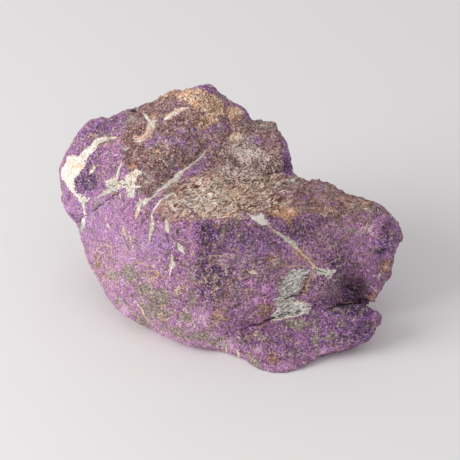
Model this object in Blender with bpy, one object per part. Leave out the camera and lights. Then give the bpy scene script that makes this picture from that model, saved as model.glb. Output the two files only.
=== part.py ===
"""A hand specimen of purpurite: one rough, unbroken lump of manganese phosphate rock.

The lump has a raised back with four rounded masses, a lower bedded shelf in front of them, a blunt nose
at the right, and a foot slab whose right end stands clear of the nose, so that a crevice opens between
them. It rests on a small flat break. X runs along its length, -Y is the display side, +Z is up.
"""

import bmesh
import bpy
import numpy as np
from mathutils import Euler, Vector

MM = 0.001

NAME = "purpurite"
COLOUR = (0.17, 0.075, 0.21, 1)
ROUGHNESS = 0.85

GRID = 1.0 * MM
SOFTEN_ROUNDS = 3
SOFTEN_PART = 0.5
TRIANGLES = 9300

# Each mass is a convex block. Its named edges list their corners in millimetres, as (x, y, z), and the
# corners under z = 0 lie below the flat break that the stone rests on.
CORE = {
    "brow": [(-22, -13.5, 38.5), (-17.5, -16, 41), (-12, -18.5, 41), (-6, -19.5, 40.5)],
    "ridge": [(-6.5, -21.5, 34), (-5, -22.5, 21), (-2, -23.5, 9)],
    "flank": [(-31, -2.5, 34), (-33, -2.5, 26), (-38.5, 13, 37), (-39, 12, 16)],
    "rim_left": [(-38.5, 7.5, 17), (-36.5, 2.5, 11.5), (-35.5, 0.5, 10), (-33.5, -3, 8.5), (-30, -8, 5.5)],
    "rim_front": [(-28, -11, 4.5), (-24.5, -13.5, 4), (-18, -17, 3), (-14.5, -19, 2.5)],
    "rim_right": [(-10, -20.5, 2), (-6, -21.5, 1.5), (-1, -22.5, 1)],
    "top": [(-6, 3, 44), (9.5, -2.5, 41), (-12, 22.5, 43), (12, 18, 36)],
    "back": [(-35, 19.5, 34), (-36, 20, 22), (-33, 19, 12), (-6, 25, 26), (-12, 24, 6), (16, 21.5, 22)],
    "keel": [
        (-27, 8, 2), (-15, -12, -3), (-2, -18, -3), (-18, 14, -3),
        (7, 15, -3), (17, 2, -3), (14, 20, 5),
    ],
}
LEFT_LOBE = {
    "rim_low": [(-43.5, 13, 27), (-43, 12, 23), (-41.5, 11, 19.5), (-40, 10.5, 17)],
    "rim_high": [(-43.5, 14, 31), (-42.5, 14, 34), (-40.5, 15, 37), (-38, 15.5, 41.5)],
    "crown": [(-35.5, 16, 44), (-32.5, 15.5, 46), (-30.5, 14, 46.5), (-24, 14, 44)],
    "face": [
        (-31, 9, 43), (-36.5, 10.5, 36), (-38, 8, 24),
        (-26.5, -1, 39), (-24.5, -9.5, 38), (-32, -2, 28),
    ],
    "back": [(-33, 19.5, 42), (-39, 19, 33), (-37, 19, 20), (-22, 14, 18)],
}
RISE = {
    "crown": [(-30, 14.5, 46.5), (-27.5, 15, 48), (-21, 14.5, 50), (-18, 15, 51), (-4, 10, 48)],
    "face": [(-27.5, 6, 45), (-19.5, 2, 47.5), (-19.5, -8, 42.5), (-10, 2.5, 47)],
    "skirt": [(-21, -13.5, 39), (-25, -8, 39.5), (-11, -3.5, 43)],
    "back": [(-28, 19, 44), (-14, 21, 47), (-28, 21, 30), (-12, 24, 32)],
}
CREST = {
    "rise": [(-18, 14.5, 51), (-15, 15, 53), (-10, 14, 53)],
    "peak": [(-7.5, 13, 56.5), (-6.5, 13, 57), (-5, 12.5, 57), (-4, 11.5, 55.5)],
    "fall": [(-1.5, 11, 52.5), (2.5, 12, 51), (4.5, 12, 50), (5, 12, 48)],
    "face": [(-19.5, 3.5, 48), (-10, 4, 50.5), (-1, 6.5, 49)],
    "skirt": [(-16, -4.5, 44.5), (-6, 1.5, 45), (2.5, 2.5, 43.5), (6.5, 2.5, 42)],
    "back": [(-15, 20.5, 49.5), (0, 19.5, 47), (-17, 24, 34), (5, 22, 32)],
}
SHOULDER = {
    "crown": [(4.5, 10.5, 47.5), (8, 11.5, 47), (11, 10.5, 47), (13, 8.5, 45.5)],
    "end": [(14, 7, 44), (15, 5, 42.5), (15, 2.5, 39), (15, 2, 37), (16.5, 6, 26)],
    "face": [(2.5, 3, 44), (8, 4.5, 44.5), (1.5, -1, 42), (8.5, -2, 40.5)],
    "back": [(9, 17, 42), (3, 19.5, 42), (14, 13, 34), (10, 20, 24)],
    "root": [(-6, 8, 46), (-4, 10, 30)],
}
SHELF = {
    "front": [
        (-6, -19.5, 40.5), (-1, -20, 39.5), (5, -18.5, 39),
        (14.5, -14, 37), (24.5, -9.5, 35), (32, -5.5, 32.5),
    ],
    "rear": [
        (15.5, 0, 38.5), (20, -1, 38), (25.5, -0.5, 36),
        (28.5, -1.5, 34), (31.5, -2, 32.5), (-4, 4, 42),
    ],
    "wall_left": [
        (-6, -21.5, 34), (-4.5, -22.5, 21), (-1.5, -23.5, 9),
        (5, -19, 32.5), (5, -22, 20), (8, -21.5, 9),
    ],
    "wall_right": [
        (17, -15, 29.5), (17, -16.5, 15.5), (17, -18.5, 8.5),
        (26.5, -10, 26), (27.5, -11, 14.5),
    ],
    "end": [(26, -13, 10), (29, -5, 30), (28.5, -5, 8)],
    "back": [(16, 9, 31), (24, 9, 27), (29, 5, 26), (26, 9, 9)],
    "keel": [(24, -4, -3), (21, 7, -3), (-6, 8, -3), (-2, -18, -3)],
}
NOSE = {
    "top": [
        (28.5, -1.5, 33.5), (32.5, -2, 33), (36, -1.5, 31),
        (39, -1.5, 29), (41, -2, 27.5), (42.5, -1.5, 25),
    ],
    "tip": [(43.5, -1.5, 22), (43, -2.5, 20)],
    "waist": [(40.5, -4.5, 16.5), (40.5, -6.5, 14.5), (40, -7, 12.5)],
    "heel": [(38.5, -8, 11), (37.5, -9, 9.5), (36.5, -9.5, 8), (36, -11, 6.5), (34, -9.5, 6.5)],
    "jaw": [(32, -7, 3), (28, -9.5, 4), (33.5, -9, 5)],
    "face": [
        (35, -4.5, 32), (30, -6.5, 29), (36, -4.5, 26.5),
        (30.5, -8, 18), (36, -6.5, 17.5), (31.5, -9, 10.5),
    ],
    "root": [(16, -3, 32), (16, -2, 8)],
    "back": [(37, 4, 27), (39, 4, 19), (34, 7, 12), (26, 9, 9), (28, 7, 26)],
}
FOOT = {
    "toe": [
        (-1, -22.5, 1.5), (2, -24, 1), (5.5, -26.5, 0),
        (8, -29.5, -0.5), (11.5, -31, -0.5), (15, -29.5, 0.5),
    ],
    "edge": [
        (18, -27.5, 1), (24, -23.5, 2.5), (28.5, -23, 3),
        (32.5, -22, 3), (36, -21.5, 4.5), (37.5, -21, 6.5),
    ],
    "lip": [(38, -19.5, 8.5), (37.5, -19, 10.5), (35.5, -18.5, 12), (32.5, -17.5, 13), (29, -17.5, 13)],
    "lip_root": [(26.5, -18, 12), (23.5, -19, 11), (17, -19, 10.5), (8, -20.5, 8), (1.5, -22.5, 7)],
    "face": [(8, -25, 5), (17, -24, 6), (27, -22, 7.5)],
    "behind_lip": [(34.5, -13.5, 7), (32, -13, 2)],
    "keel": [(27, -12, -3), (22, 0, -3), (-3, -12, -3), (4, -23, -3), (11, -27, -3), (23, -20, -3)],
}
BACK_SLAB = {
    "outer": [(-23, 26.5, 11), (-6, 28.5, 9), (-1, 28.5, 27), (-10, 28, 35), (-24, 25, 31)],
    "inner": [(-31, 20, 10), (-30, 20, 33), (-12, 21, 41), (6, 22, 33), (4, 23, 6), (-24, 20, 5)],
}
MASSES = {
    "core": CORE,
    "back_slab": BACK_SLAB,
    "left_lobe": LEFT_LOBE,
    "rise": RISE,
    "crest": CREST,
    "shoulder": SHOULDER,
    "shelf": SHELF,
    "nose": NOSE,
    "foot": FOOT,
}

# Bumps and hollows on the joined blocks, in millimetres: centre, radius, and height (negative for a hollow).
SWELLS = {
    "eye_hollow": ((-37, 9, 29), 3.5, -1.2),
    "lobe_notch": ((-29, 14, 47), 2.5, -0.4),
    "crest_dip": ((-11.5, 14, 55), 4, -1),
    "crest_fall": ((1.5, 12, 52), 3, -0.8),
    "nose_step": ((42.5, -4.5, 17.5), 2.5, -1),
    "toe_notch": ((3, -25.5, 1), 2.5, -0.7),
    "foot_scallop": ((22, -25, 1.5), 4.5, -1.2),
    "crevice_hollow": ((30, -10, 10), 4.5, -2.5),
    "crevice_mouth": ((27, -15, 11.5), 2.5, -1.5),
    "wall_bulge": ((24, -12, 18), 7, 0.8),
    "wall_hollow": ((8, -20, 26), 9, -0.8),
    "shelf_dip": ((4, -9, 41), 9, -0.9),
    "back_scar": ((-27, 21, 22), 9, -1.8),
    "back_hollow": ((11, 22, 14), 8, -1.8),
    "end_hollow": ((27, 8, 17), 7, -1.6),
    "under_hollow": ((-27, 2, 4), 8, -1.2),
}
# Random relief: the size of its swells and their height in millimetres, and the seed.
RELIEF = [(13, 0.9, 3), (6.5, 0.6, 5), (3.2, 0.35, 8)]
RELIEF_TABLE = 24
RELIEF_TURN = Euler((0.6, 0.9, 0.4)).to_matrix()
# The display view, as seen from the stone, and how little relief its outline carries.
DISPLAY_VIEW = (0, -0.82, 0.57)
OUTLINE_BAND = 0.35
OUTLINE_CALM = 0.7
# The bedding that crops out on the shelf as small ledges: each layer's thickness, its normal, how far it
# wanders, the size of its patches, and the part of a layer that a ledge steps, in millimetres.
BEDDING_PITCH = 1.9
BEDDING_TILT = (0.10, -0.16, 1.0)
BEDDING_WANDER = 2.2
BEDDING_PATCH = 9
BEDDING_STEP = 0.6
BEDDING_SEED = 21
# A ledge's riser is the middle of its layer. Ledges lie on upward faces, between two heights, in patches.
RISER = (0.35, 0.65)
LEDGE_UPWARD = (0.55, 0.9)
LEDGE_FLOOR = (30, 35)
LEDGE_TOP = (50, 45)
LEDGE_PATCHES = (-0.3, 0.4)
LEDGE_SEED = 33

# The crack along the foot's upper edge and the crevice between the foot and the nose. Each is cut by a
# blade: the places on its path with the depth there, how far it stands out, and half its height at the
# mouth and at the bottom, in millimetres. Both go inwards and down, away from the display side.
CRACK = {
    "path": [(17.5, -18.5, 11), (14.5, -19, 10.5), (11, -20, 9.5), (8, -21, 8.5), (3.5, -22.5, 7)],
    "depth": [1, 2.5, 2.5, 2.5, 1],
    "reach": 2.5,
    "mouth": 0.35,
    "bottom": 0.05,
}
CREVICE = {
    "path": [(25, -18.5, 11.5), (29.5, -17.5, 12.5), (32.5, -17.5, 12.5), (34.5, -17, 12), (40, -17, 9.5)],
    "depth": [1, 4, 8, 20, 24],
    "reach": 1,
    "mouth": 0.45,
    "bottom": 0.5,
}


def clear_scene():
    for obj in list(bpy.data.objects):
        bpy.data.objects.remove(obj, do_unlink=True)


def add_object(name, shape):
    """An object with the bmesh's shape, faces turned outwards."""
    bmesh.ops.recalc_face_normals(shape, faces=shape.faces)
    mesh = bpy.data.meshes.new(name)
    shape.to_mesh(mesh)
    shape.free()
    obj = bpy.data.objects.new(name, mesh)
    bpy.context.scene.collection.objects.link(obj)
    return obj


def block(name, edges):
    """The convex block with the corners of these edges, as an object."""
    shape = bmesh.new()
    for corners in edges.values():
        for corner in corners:
            shape.verts.new(Vector(corner) * MM)
    bmesh.ops.convex_hull(shape, input=shape.verts)
    loose = [v for v in shape.verts if not v.link_faces]
    bmesh.ops.delete(shape, geom=loose, context="VERTS")
    return add_object(name, shape)


def wedge(name, cut):
    """A thin blade that follows the cut's path and goes into the stone along the display view."""
    inward = -Vector(DISPLAY_VIEW)
    across = inward.cross(Vector((1, 0, 0))).normalized()
    shape = bmesh.new()
    rows = []
    for place, depth in zip(cut["path"], cut["depth"]):
        outer = Vector(place) - inward * cut["reach"]
        inner = Vector(place) + inward * depth
        mouth = across * cut["mouth"]
        bottom = across * cut["bottom"]
        corners = (outer + mouth, outer - mouth, inner - bottom, inner + bottom)
        rows.append([shape.verts.new(corner * MM) for corner in corners])
    shape.faces.new(rows[0])
    shape.faces.new(rows[-1])
    for this, after in zip(rows, rows[1:]):
        for k in range(4):
            shape.faces.new((this[k], this[k - 1], after[k - 1], after[k]))
    return add_object(name, shape)


def settle(obj):
    """Makes the object's modifiers part of its mesh."""
    shown = obj.evaluated_get(bpy.context.evaluated_depsgraph_get())
    mesh = bpy.data.meshes.new_from_object(shown)
    obj.modifiers.clear()
    obj.data = mesh


def combine(obj, other, operation):
    """Adds the other object to this one, or cuts it away."""
    modifier = obj.modifiers.new(operation.lower(), "BOOLEAN")
    modifier.operation = operation
    modifier.object = other
    settle(obj)
    bpy.data.objects.remove(other, do_unlink=True)


def even_out(obj):
    """Rebuilds the surface on an even grid and takes the sharpness off its edges."""
    remesh = obj.modifiers.new("even_grid", "REMESH")
    remesh.mode = "VOXEL"
    remesh.voxel_size = GRID
    soften = obj.modifiers.new("soften", "SMOOTH")
    soften.factor = SOFTEN_PART
    soften.iterations = SOFTEN_ROUNDS
    settle(obj)


def random_swell(points, size, seed):
    """A smooth random height, -1 to 1: random values on a turned cubic grid, blended within each cell."""
    table = np.random.default_rng(seed).uniform(-1, 1, (RELIEF_TABLE,) * 3)
    turned = points @ np.array(RELIEF_TURN) / size
    cell = np.floor(turned).astype(int)
    blend = turned - cell
    blend = blend * blend * (3 - 2 * blend)
    height = np.zeros(len(points))
    for corner in np.ndindex(2, 2, 2):
        weight = np.abs(1 - np.array(corner) - blend).prod(axis=1)
        index = (cell + corner) % RELIEF_TABLE
        height += weight * table[index[:, 0], index[:, 1], index[:, 2]]
    return height


def smooth_step(values, start, end):
    """0 at start and before it, 1 at end and past it; end may be the lower of the two."""
    part = np.clip((values - start) / (end - start), 0, 1)
    return part * part * (3 - 2 * part)


def ledge_rise(points, normals):
    """How far each point is lifted so that the bedding crops out as ledges on the upward faces."""
    wander = BEDDING_WANDER * random_swell(points, BEDDING_PATCH, BEDDING_SEED)
    layer = (points @ np.array(BEDDING_TILT) + wander) / BEDDING_PITCH
    part = layer - np.floor(layer)
    lift = (smooth_step(part, *RISER) - part) * BEDDING_PITCH * BEDDING_STEP
    upward = smooth_step(normals[:, 2], *LEDGE_UPWARD)
    above_floor = smooth_step(points[:, 2], *LEDGE_FLOOR)
    below_top = smooth_step(points[:, 2], *LEDGE_TOP)
    patchy = smooth_step(random_swell(points, BEDDING_PATCH, LEDGE_SEED), *LEDGE_PATCHES)
    return lift * upward * above_floor * below_top * patchy


def shape_surface(mesh):
    """Moves the surface in and out by the swells, the random relief and the ledges."""
    count = len(mesh.vertices)
    points = np.empty(count * 3)
    normals = np.empty(count * 3)
    mesh.vertices.foreach_get("co", points)
    mesh.vertices.foreach_get("normal", normals)
    points = points.reshape(-1, 3) / MM
    normals = normals.reshape(-1, 3)
    height = np.zeros(count)
    for centre, radius, rise in SWELLS.values():
        away = np.linalg.norm(points - centre, axis=1) / radius
        height += rise * np.exp(-away ** 2)
    facing = normals @ np.array(DISPLAY_VIEW) / OUTLINE_BAND
    calm = 1 - OUTLINE_CALM * np.exp(-facing ** 2)
    for size, rise, seed in RELIEF:
        height += calm * rise * random_swell(points, size, seed)
    moved = points + normals * height[:, None]
    moved[:, 2] += ledge_rise(points, normals)
    mesh.vertices.foreach_set("co", (moved * MM).ravel())
    mesh.update()


def thin_out(obj):
    """Lowers the triangle count and leaves the small flat facets of broken rock."""
    obj.data.calc_loop_triangles()
    fewer = obj.modifiers.new("facets", "DECIMATE")
    fewer.ratio = TRIANGLES / len(obj.data.loop_triangles)
    fewer.use_collapse_triangulate = True
    settle(obj)


def break_flat(obj):
    """Cuts the stone off flat at z = 0, where it rests."""
    shape = bmesh.new()
    shape.from_mesh(obj.data)
    everything = [*shape.verts, *shape.edges, *shape.faces]
    bmesh.ops.bisect_plane(shape, geom=everything, plane_co=(0, 0, 0), plane_no=(0, 0, -1), clear_outer=True)
    rim = [edge for edge in shape.edges if edge.is_boundary]
    bmesh.ops.holes_fill(shape, edges=rim, sides=0)
    bmesh.ops.triangulate(shape, faces=shape.faces)
    bmesh.ops.recalc_face_normals(shape, faces=shape.faces)
    shape.to_mesh(obj.data)
    shape.free()


def centre(obj):
    """Moves the mesh so that the origin is under the middle of its bounding box."""
    places = np.array([v.co for v in obj.data.vertices])
    middle = (places.min(axis=0) + places.max(axis=0)) / 2
    for v in obj.data.vertices:
        v.co.x -= middle[0]
        v.co.y -= middle[1]


def add_material(obj):
    """Rough violet phosphate rock."""
    material = bpy.data.materials.new("violet_rock")
    material.use_nodes = True
    shader = material.node_tree.nodes["Principled BSDF"]
    shader.inputs["Base Color"].default_value = COLOUR
    shader.inputs["Roughness"].default_value = ROUGHNESS
    shader.inputs["Metallic"].default_value = 0
    obj.data.materials.clear()
    obj.data.materials.append(material)


def main():
    clear_scene()
    blocks = [block(name, edges) for name, edges in MASSES.items()]
    stone = blocks[0]
    for other in blocks[1:]:
        combine(stone, other, "UNION")
    even_out(stone)
    shape_surface(stone.data)
    thin_out(stone)
    combine(stone, wedge("crack", CRACK), "DIFFERENCE")
    combine(stone, wedge("crevice", CREVICE), "DIFFERENCE")
    break_flat(stone)
    centre(stone)
    stone.name = NAME
    stone.data.name = NAME
    add_material(stone)


main()
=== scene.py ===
"""The looks of a rough purpurite hand specimen: its broken surface, pale veins, crusts and stains.

The stone is one skin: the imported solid's surface on an even fine mesh, with the rock's small relief.
What belongs to a place on the display side is given in pixels of the photograph, and lands on the skin
along the camera's sight lines. The sides that the photograph doesn't show get the same rock, veins and
crusts from random fields.

A field is a number for each point of the skin, such as how brown the rock is there. The relief reads the
fields, and so does the material.
"""

import math
from functools import partial

import bmesh
import bpy
import numpy as np
from mathutils import Euler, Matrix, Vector


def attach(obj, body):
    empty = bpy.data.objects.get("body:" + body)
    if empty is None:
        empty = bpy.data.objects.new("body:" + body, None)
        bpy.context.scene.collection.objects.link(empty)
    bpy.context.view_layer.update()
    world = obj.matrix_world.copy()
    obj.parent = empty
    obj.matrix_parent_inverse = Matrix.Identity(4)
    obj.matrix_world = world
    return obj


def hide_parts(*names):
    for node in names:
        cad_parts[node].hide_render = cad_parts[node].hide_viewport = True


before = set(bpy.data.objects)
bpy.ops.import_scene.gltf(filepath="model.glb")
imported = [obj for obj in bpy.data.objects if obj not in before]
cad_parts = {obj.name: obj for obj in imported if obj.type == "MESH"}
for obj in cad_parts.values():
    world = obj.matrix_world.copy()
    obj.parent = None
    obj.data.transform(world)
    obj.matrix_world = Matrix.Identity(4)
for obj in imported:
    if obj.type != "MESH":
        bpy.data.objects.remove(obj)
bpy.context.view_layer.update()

MM = 0.001
NODE = "purpurite"

# The photograph is a square of PHOTO pixels. At the aim, each shows PIXEL of stone.
PHOTO = 460
PIXEL = 0.25 * MM
DISTANCE = 550 * MM
ELEVATION = math.radians(35)
AIM = np.array((0, 0.6, 22)) * MM
SENSOR = 36
CLIP_START = 10 * MM
BACK = np.array((0, -math.cos(ELEVATION), math.sin(ELEVATION)))
RIGHT = np.array((1, 0, 0))
UP = np.cross(BACK, RIGHT)
EYE = AIM + DISTANCE * BACK

# The floor, the even light from all round, and a soft lamp at the left. Lengths are in metres.
FLOOR_SIDE = 4
CARD_COLOUR = "#f4f2ef"
CARD_ROUGHNESS = 0.9
SKY_COLOUR = "#fbfaff"
SKY_STRENGTH = 0.6
KEY = {"direction": (-0.85, -0.3, 0.45), "distance": 0.6, "size": 0.4, "power": 2.4}

# The skin's mesh. Points of the solid this close are one.
SAME_POINT = 0.001 * MM
VOXEL = 0.44 * MM
SMOOTH_ROUNDS = 6
SMOOTH_PART = 0.5
# A point passes from unseen to seen as its normal turns to the camera, by the cosine between them.
SEEN = (-0.35, -0.1)
# Random patterns repeat after this many cells, and their grid is turned, so that no face lies along it.
RANDOM_TABLE = 32
RANDOM_TURN = np.array(Euler((0.7, 0.4, 1.1)).to_matrix())

# The directions in which the rock's layers and fibres run, as vectors in the stone's frame.
SHELF_GRAIN = Vector((0.8, 0.6, -0.1))
FLANK_GRAIN = Vector((1, -1.2, -0.37))
PATCH_GRAIN = Vector((0.8, 0.2, 0.26))

# Outlines on the display side, in photograph pixels: areas of a kind of rock, and bodies of vein.
OUTLINES = {
    "flank": [
        (58, 160), (75, 186), (98, 192), (128, 204), (152, 214), (180, 220), (198, 216), (196, 262),
        (206, 292), (216, 318), (232, 344), (222, 352), (160, 338), (110, 312), (78, 250), (58, 200),
    ],
    "brown_lobe": [
        (129, 111), (140, 103), (166, 94), (200, 96), (222, 103), (244, 118), (270, 119), (281, 134),
        (283, 158), (284, 171), (262, 177), (240, 178), (214, 172), (190, 164), (182, 172), (166, 188),
        (150, 196), (138, 194), (134, 180), (124, 164), (124, 150), (121, 134),
    ],
    "shelf": [
        (160, 200), (176, 182), (196, 172), (222, 170), (262, 176), (292, 174), (334, 184), (378, 202),
        (372, 210), (330, 210), (290, 214), (262, 214), (240, 211), (222, 218), (200, 219), (172, 222),
        (158, 214),
    ],
    "streaked_shelf": [
        (180, 186), (196, 178), (225, 178), (268, 180), (306, 178), (326, 188), (318, 200), (290, 206),
        (262, 206), (244, 208), (228, 219), (204, 216), (192, 204), (176, 198),
    ],
    "crust_top": [
        (158, 99), (168, 91), (180, 90), (198, 89), (212, 92), (219, 99), (222, 106), (222, 113), (213, 118),
        (204, 126), (199, 121), (206, 113), (197, 106), (184, 100), (173, 95), (163, 99),
    ],
    "crust_right": [
        (225, 112), (229, 105), (239, 107), (246, 112), (242, 119), (230, 120),
    ],
    "crust_fringe": [
        (194, 119), (206, 113), (215, 113), (214, 122), (205, 129), (194, 127),
    ],
    "crest_rim": [
        (197, 86), (204, 82), (215, 85), (222, 93), (234, 99), (246, 107), (252, 118), (247, 118),
        (242, 109), (230, 101), (219, 96), (212, 94), (204, 90),
    ],
    "right_rim": [
        (281, 134), (288, 138), (293, 150), (292, 176), (284, 172), (283, 156),
    ],
    "left_blob": [
        (66, 158), (70, 155), (78.5, 155), (83, 150), (89, 145), (95, 139), (99, 136.5), (101, 141),
        (98, 146), (96, 151), (90, 153.5), (87, 160), (86, 167), (82, 170), (80, 174), (76.6, 178),
        (75, 183), (75.4, 188), (78.4, 192), (83, 196.4), (91.5, 198.4), (92, 200), (87.6, 202.6),
        (86.4, 207), (85.8, 216), (85.6, 224), (84, 231), (81.8, 235), (80.6, 230), (81.4, 222),
        (83.6, 216), (83.4, 209.5), (81.4, 203), (77.4, 198), (72.6, 192.6), (68.2, 187), (64.6, 182),
        (61.5, 177), (61, 170), (65, 165),
    ],
    "cluster": [
        (105, 181), (110, 179), (115, 177.5), (118, 181), (124.5, 181), (126.5, 175.6), (133, 169.6),
        (140, 167.6), (143, 172.6), (138.6, 177.6), (136, 182), (137.4, 185.4), (141.4, 186), (141, 189),
        (136, 189.4), (135.6, 196), (132.6, 199), (128.5, 196.5), (128, 191), (125, 188.3), (121, 188.3),
        (116, 192), (112, 190), (106, 186),
    ],
    "face_triangle": [
        (247.6, 212.6), (253, 215.6), (259, 214.6), (262, 211.4), (264, 216.4), (266, 220.6),
        (269, 224), (263, 225.6), (257, 223.4), (251, 219),
    ],
    "vein_foot": [
        (312, 262), (317, 266.4), (322, 267.6), (326, 269.6), (332, 269), (337.8, 271.2), (333, 274),
        (330.4, 277.6), (326, 279), (327.6, 275.4), (321, 274.6), (315, 271.6), (311.4, 267),
    ],
    "grey_patch": [
        (290, 270), (300, 267.5), (311, 270), (309, 275), (304, 280), (302, 286), (300.5, 292), (296, 297),
        (300, 301), (309, 302.5), (312, 307), (309, 314), (297, 316), (284, 319.5), (270, 322),
        (272, 315), (278, 306), (274, 300), (280, 296), (279, 284), (284, 278),
    ],
    "olive_wedge": [
        (283, 321.5), (290, 319.8), (304, 318.6), (306, 324), (301, 329), (297, 331), (288, 326),
    ],
}

# Pale veins: x, y and half-width at each point, in photograph pixels.
VEINS = {
    "blob_arm": [(98, 141, 2.6), (104, 139.4, 1.9), (111, 137.2, 1.7), (117, 137.4, 0.7)],
    "comma": [(91.6, 166.4, 1.1), (92, 170, 1.7), (89.4, 173, 1)],
    "cluster_tail": [(117, 179, 1.6), (117.4, 174, 1), (119.6, 167, 0.8), (122, 161.5, 0.5)],
    "cluster_tick": [(120.2, 191, 0.6), (120.8, 198, 0.4)],
    "fork_stem": [
        (145.6, 115.4, 1.4), (148.4, 119.4, 1.5), (151, 124.6, 3), (149, 130, 2.7), (144.4, 135.6, 2.1),
        (139.6, 138.8, 0.8), (134, 138.8, 0.4),
    ],
    "fork_arm": [(151.5, 122.5, 1.7), (156.5, 120.6, 0.8)],
    "fork_side": [(134, 141, 0.4), (139, 141.4, 0.8), (146, 138.6, 0.7)],
    "top_streak": [
        (164, 119.4, 1.1), (170.3, 115.6, 2.5), (177.4, 111.4, 2.7), (183, 108.8, 1.6), (187.4, 107.6, 0.6),
    ],
    "small_fork": [(121, 146.2, 0.5), (125.6, 149, 1), (128.2, 147, 0.5)],
    "main_thin": [(206.2, 151, 0.45), (200.9, 157.6, 0.9), (192, 164.6, 0.8), (184.6, 169.8, 1)],
    "main_thick": [
        (184.6, 169.8, 1), (178, 175.5, 2.3), (172, 181, 2.5), (166, 187, 1.5), (157, 193.3, 1),
        (151, 197.3, 1.4), (145, 201.6, 2.5), (139.8, 204.6, 3), (138, 210, 2), (136.6, 214, 1.4),
        (135.6, 220.5, 0.6),
    ],
    "main_spur": [(139.7, 199, 0.8), (140.2, 204, 1.8)],
    "second": [
        (172.5, 194.4, 1.6), (166.2, 197.2, 1.2), (159.4, 202.2, 0.9), (154.2, 209.6, 0.6),
        (151.8, 215.7, 1), (152.4, 222.5, 1.7), (151.6, 230, 1.8), (150.4, 237, 1.1), (148.8, 243.4, 0.6),
    ],
    "flank_oval": [(165.8, 221, 0.9), (166.4, 225, 1.5), (167.4, 229, 1.5), (168, 232, 0.7)],
    "flank_bean": [(179.6, 244.6, 1.2), (181.4, 248, 2), (182.6, 250.6, 1.9), (184.4, 253, 1)],
    "flank_drop": [
        (171.6, 254.6, 0.5), (173.2, 261, 2.4), (173.2, 265, 2.6), (171.6, 269, 1.1), (170, 275, 0.4),
    ],
    "flank_beige": [(137.6, 304, 0.6), (143, 312.5, 1.1), (149, 322, 0.5)],
    "face_start": [(264.8, 222, 0.6), (270.7, 226.8, 0.5), (274.2, 230.2, 0.9), (280, 233.9, 1.2)],
    "face_thick": [(280, 233.9, 1.3), (286.6, 239.2, 2.3), (292.4, 243.8, 2.3), (297, 248.6, 1.4)],
    "face_orange": [(297, 248.6, 1.2), (301.5, 253.4, 1.3), (307.6, 258.6, 1), (313, 264.4, 1)],
    "face_bead": [(248.6, 271.6, 0.8), (252.4, 271.8, 1.9), (256, 273, 1)],
    "face_comma": [(352.6, 278.4, 0.5), (356.6, 279.2, 0.6), (359, 281.8, 0.4)],
    "toe_line": [(371, 286.8, 0.3), (376.6, 291.6, 0.6)],
    "nose_drop": [(379.6, 275.6, 1.1), (378.4, 279.4, 0.5)],
    "shelf_line": [(252.6, 204.6, 0.3), (260, 203.8, 0.5), (267, 205, 0.3)],
    "foot_spot": [(236.4, 350.4, 1), (238.2, 354, 1.4)],
    "foot_curl": [(231, 340.4, 0.7), (227.8, 343, 0.9), (226, 347, 0.9), (226.6, 351, 0.6)],
    "crack_side": [(98.5, 197, 0.7), (103, 193.6, 2), (109, 191, 2), (113.4, 189.6, 0.8)],
    "shelf_swirl": [(169, 204, 0.5), (174, 208, 0.9), (180, 209, 0.5)],
    "shelf_curl": [(166, 201, 0.6), (172, 200, 1), (178, 203, 0.6)],
    "flank_star": [(107, 223, 0.6), (109, 227, 0.9), (110.6, 229.4, 0.5)],
    "flank_string": [(129.4, 235, 0.5), (131, 239.6, 1.3), (131.8, 244, 0.5)],
    "flank_dot": [(133.2, 246.4, 0.9), (133.6, 248.6, 0.9)],
    "crack_lip": [(271, 320.4, 0.5), (281, 319.2, 0.9), (292, 316.6, 0.8), (304, 313, 1)],
}

# Thin tan lines, in the same form.
TAN_LINES = {
    "face_upper": [
        (198.4, 256.4, 0.4), (203, 257.8, 0.6), (207, 257.2, 0.4), (212, 255.4, 0.3), (218, 255.8, 0.7),
        (226, 256.4, 0.3), (230, 257, 0.6), (234, 256, 0.4),
    ],
    "face_lower": [
        (240, 271, 0.3), (246, 270.4, 0.5), (252, 271.4, 1.4), (256, 270.6, 0.5), (263, 268, 0.4),
        (270, 265.4, 0.6), (278, 266.4, 0.4), (284, 265, 0.6), (290, 267, 1), (296, 265, 0.5),
        (306, 266.4, 0.8),
    ],
    "face_bead_tail": [(252, 273.5, 0.5), (246.4, 277.4, 0.7), (240, 280, 0.4)],
    "above_lip": [(343.6, 302.4, 0.3), (351, 301.4, 0.5), (360, 301.8, 0.4)],
    "lobe_brown": [(157, 197.6, 0.5), (168, 189.4, 0.7), (181, 180, 0.5)],
    "shelf_brow": [(263, 178.4, 0.4), (271, 174.6, 0.6), (285, 174.2, 0.5)],
    "flank_loop": [
        (95, 252, 0.3), (99, 247.6, 0.5), (105, 245, 0.6), (111, 248, 0.5), (112, 254, 0.4), (107, 258, 0.3),
    ],
    "flank_arc": [(136, 261.4, 0.4), (139, 264, 0.7), (144, 263, 0.8), (147.4, 266, 0.7), (148, 269, 0.4)],
    "flank_rise": [(123.4, 227.4, 0.5), (124.2, 231, 1.2), (125.4, 236, 0.5)],
    "flank_nest": [(150, 272, 0.4), (154, 270, 0.7), (158, 273, 0.7), (156, 278, 0.6), (151, 277, 0.5)],
    "flank_low": [(148, 276, 0.4), (150, 282, 0.7), (153, 287, 0.4)],
    "patch_edge": [(286, 300, 0.4), (293, 303, 0.7), (302, 302.6, 0.9), (310, 303.6, 0.6)],
    "patch_side": [(312, 268, 0.4), (309.6, 278, 0.5), (306, 288, 0.4)],
    "face_branch": [(321.4, 266, 0.4), (326, 264.6, 0.5), (332.8, 261.6, 0.5), (339.2, 257.6, 0.3)],
    "face_rise": [(225, 226, 0.3), (223, 236, 0.5), (218, 244, 0.4)],
    "foot_rise": [(244, 333, 0.3), (258, 328, 0.5), (266, 324.4, 0.7)],
}

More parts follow.
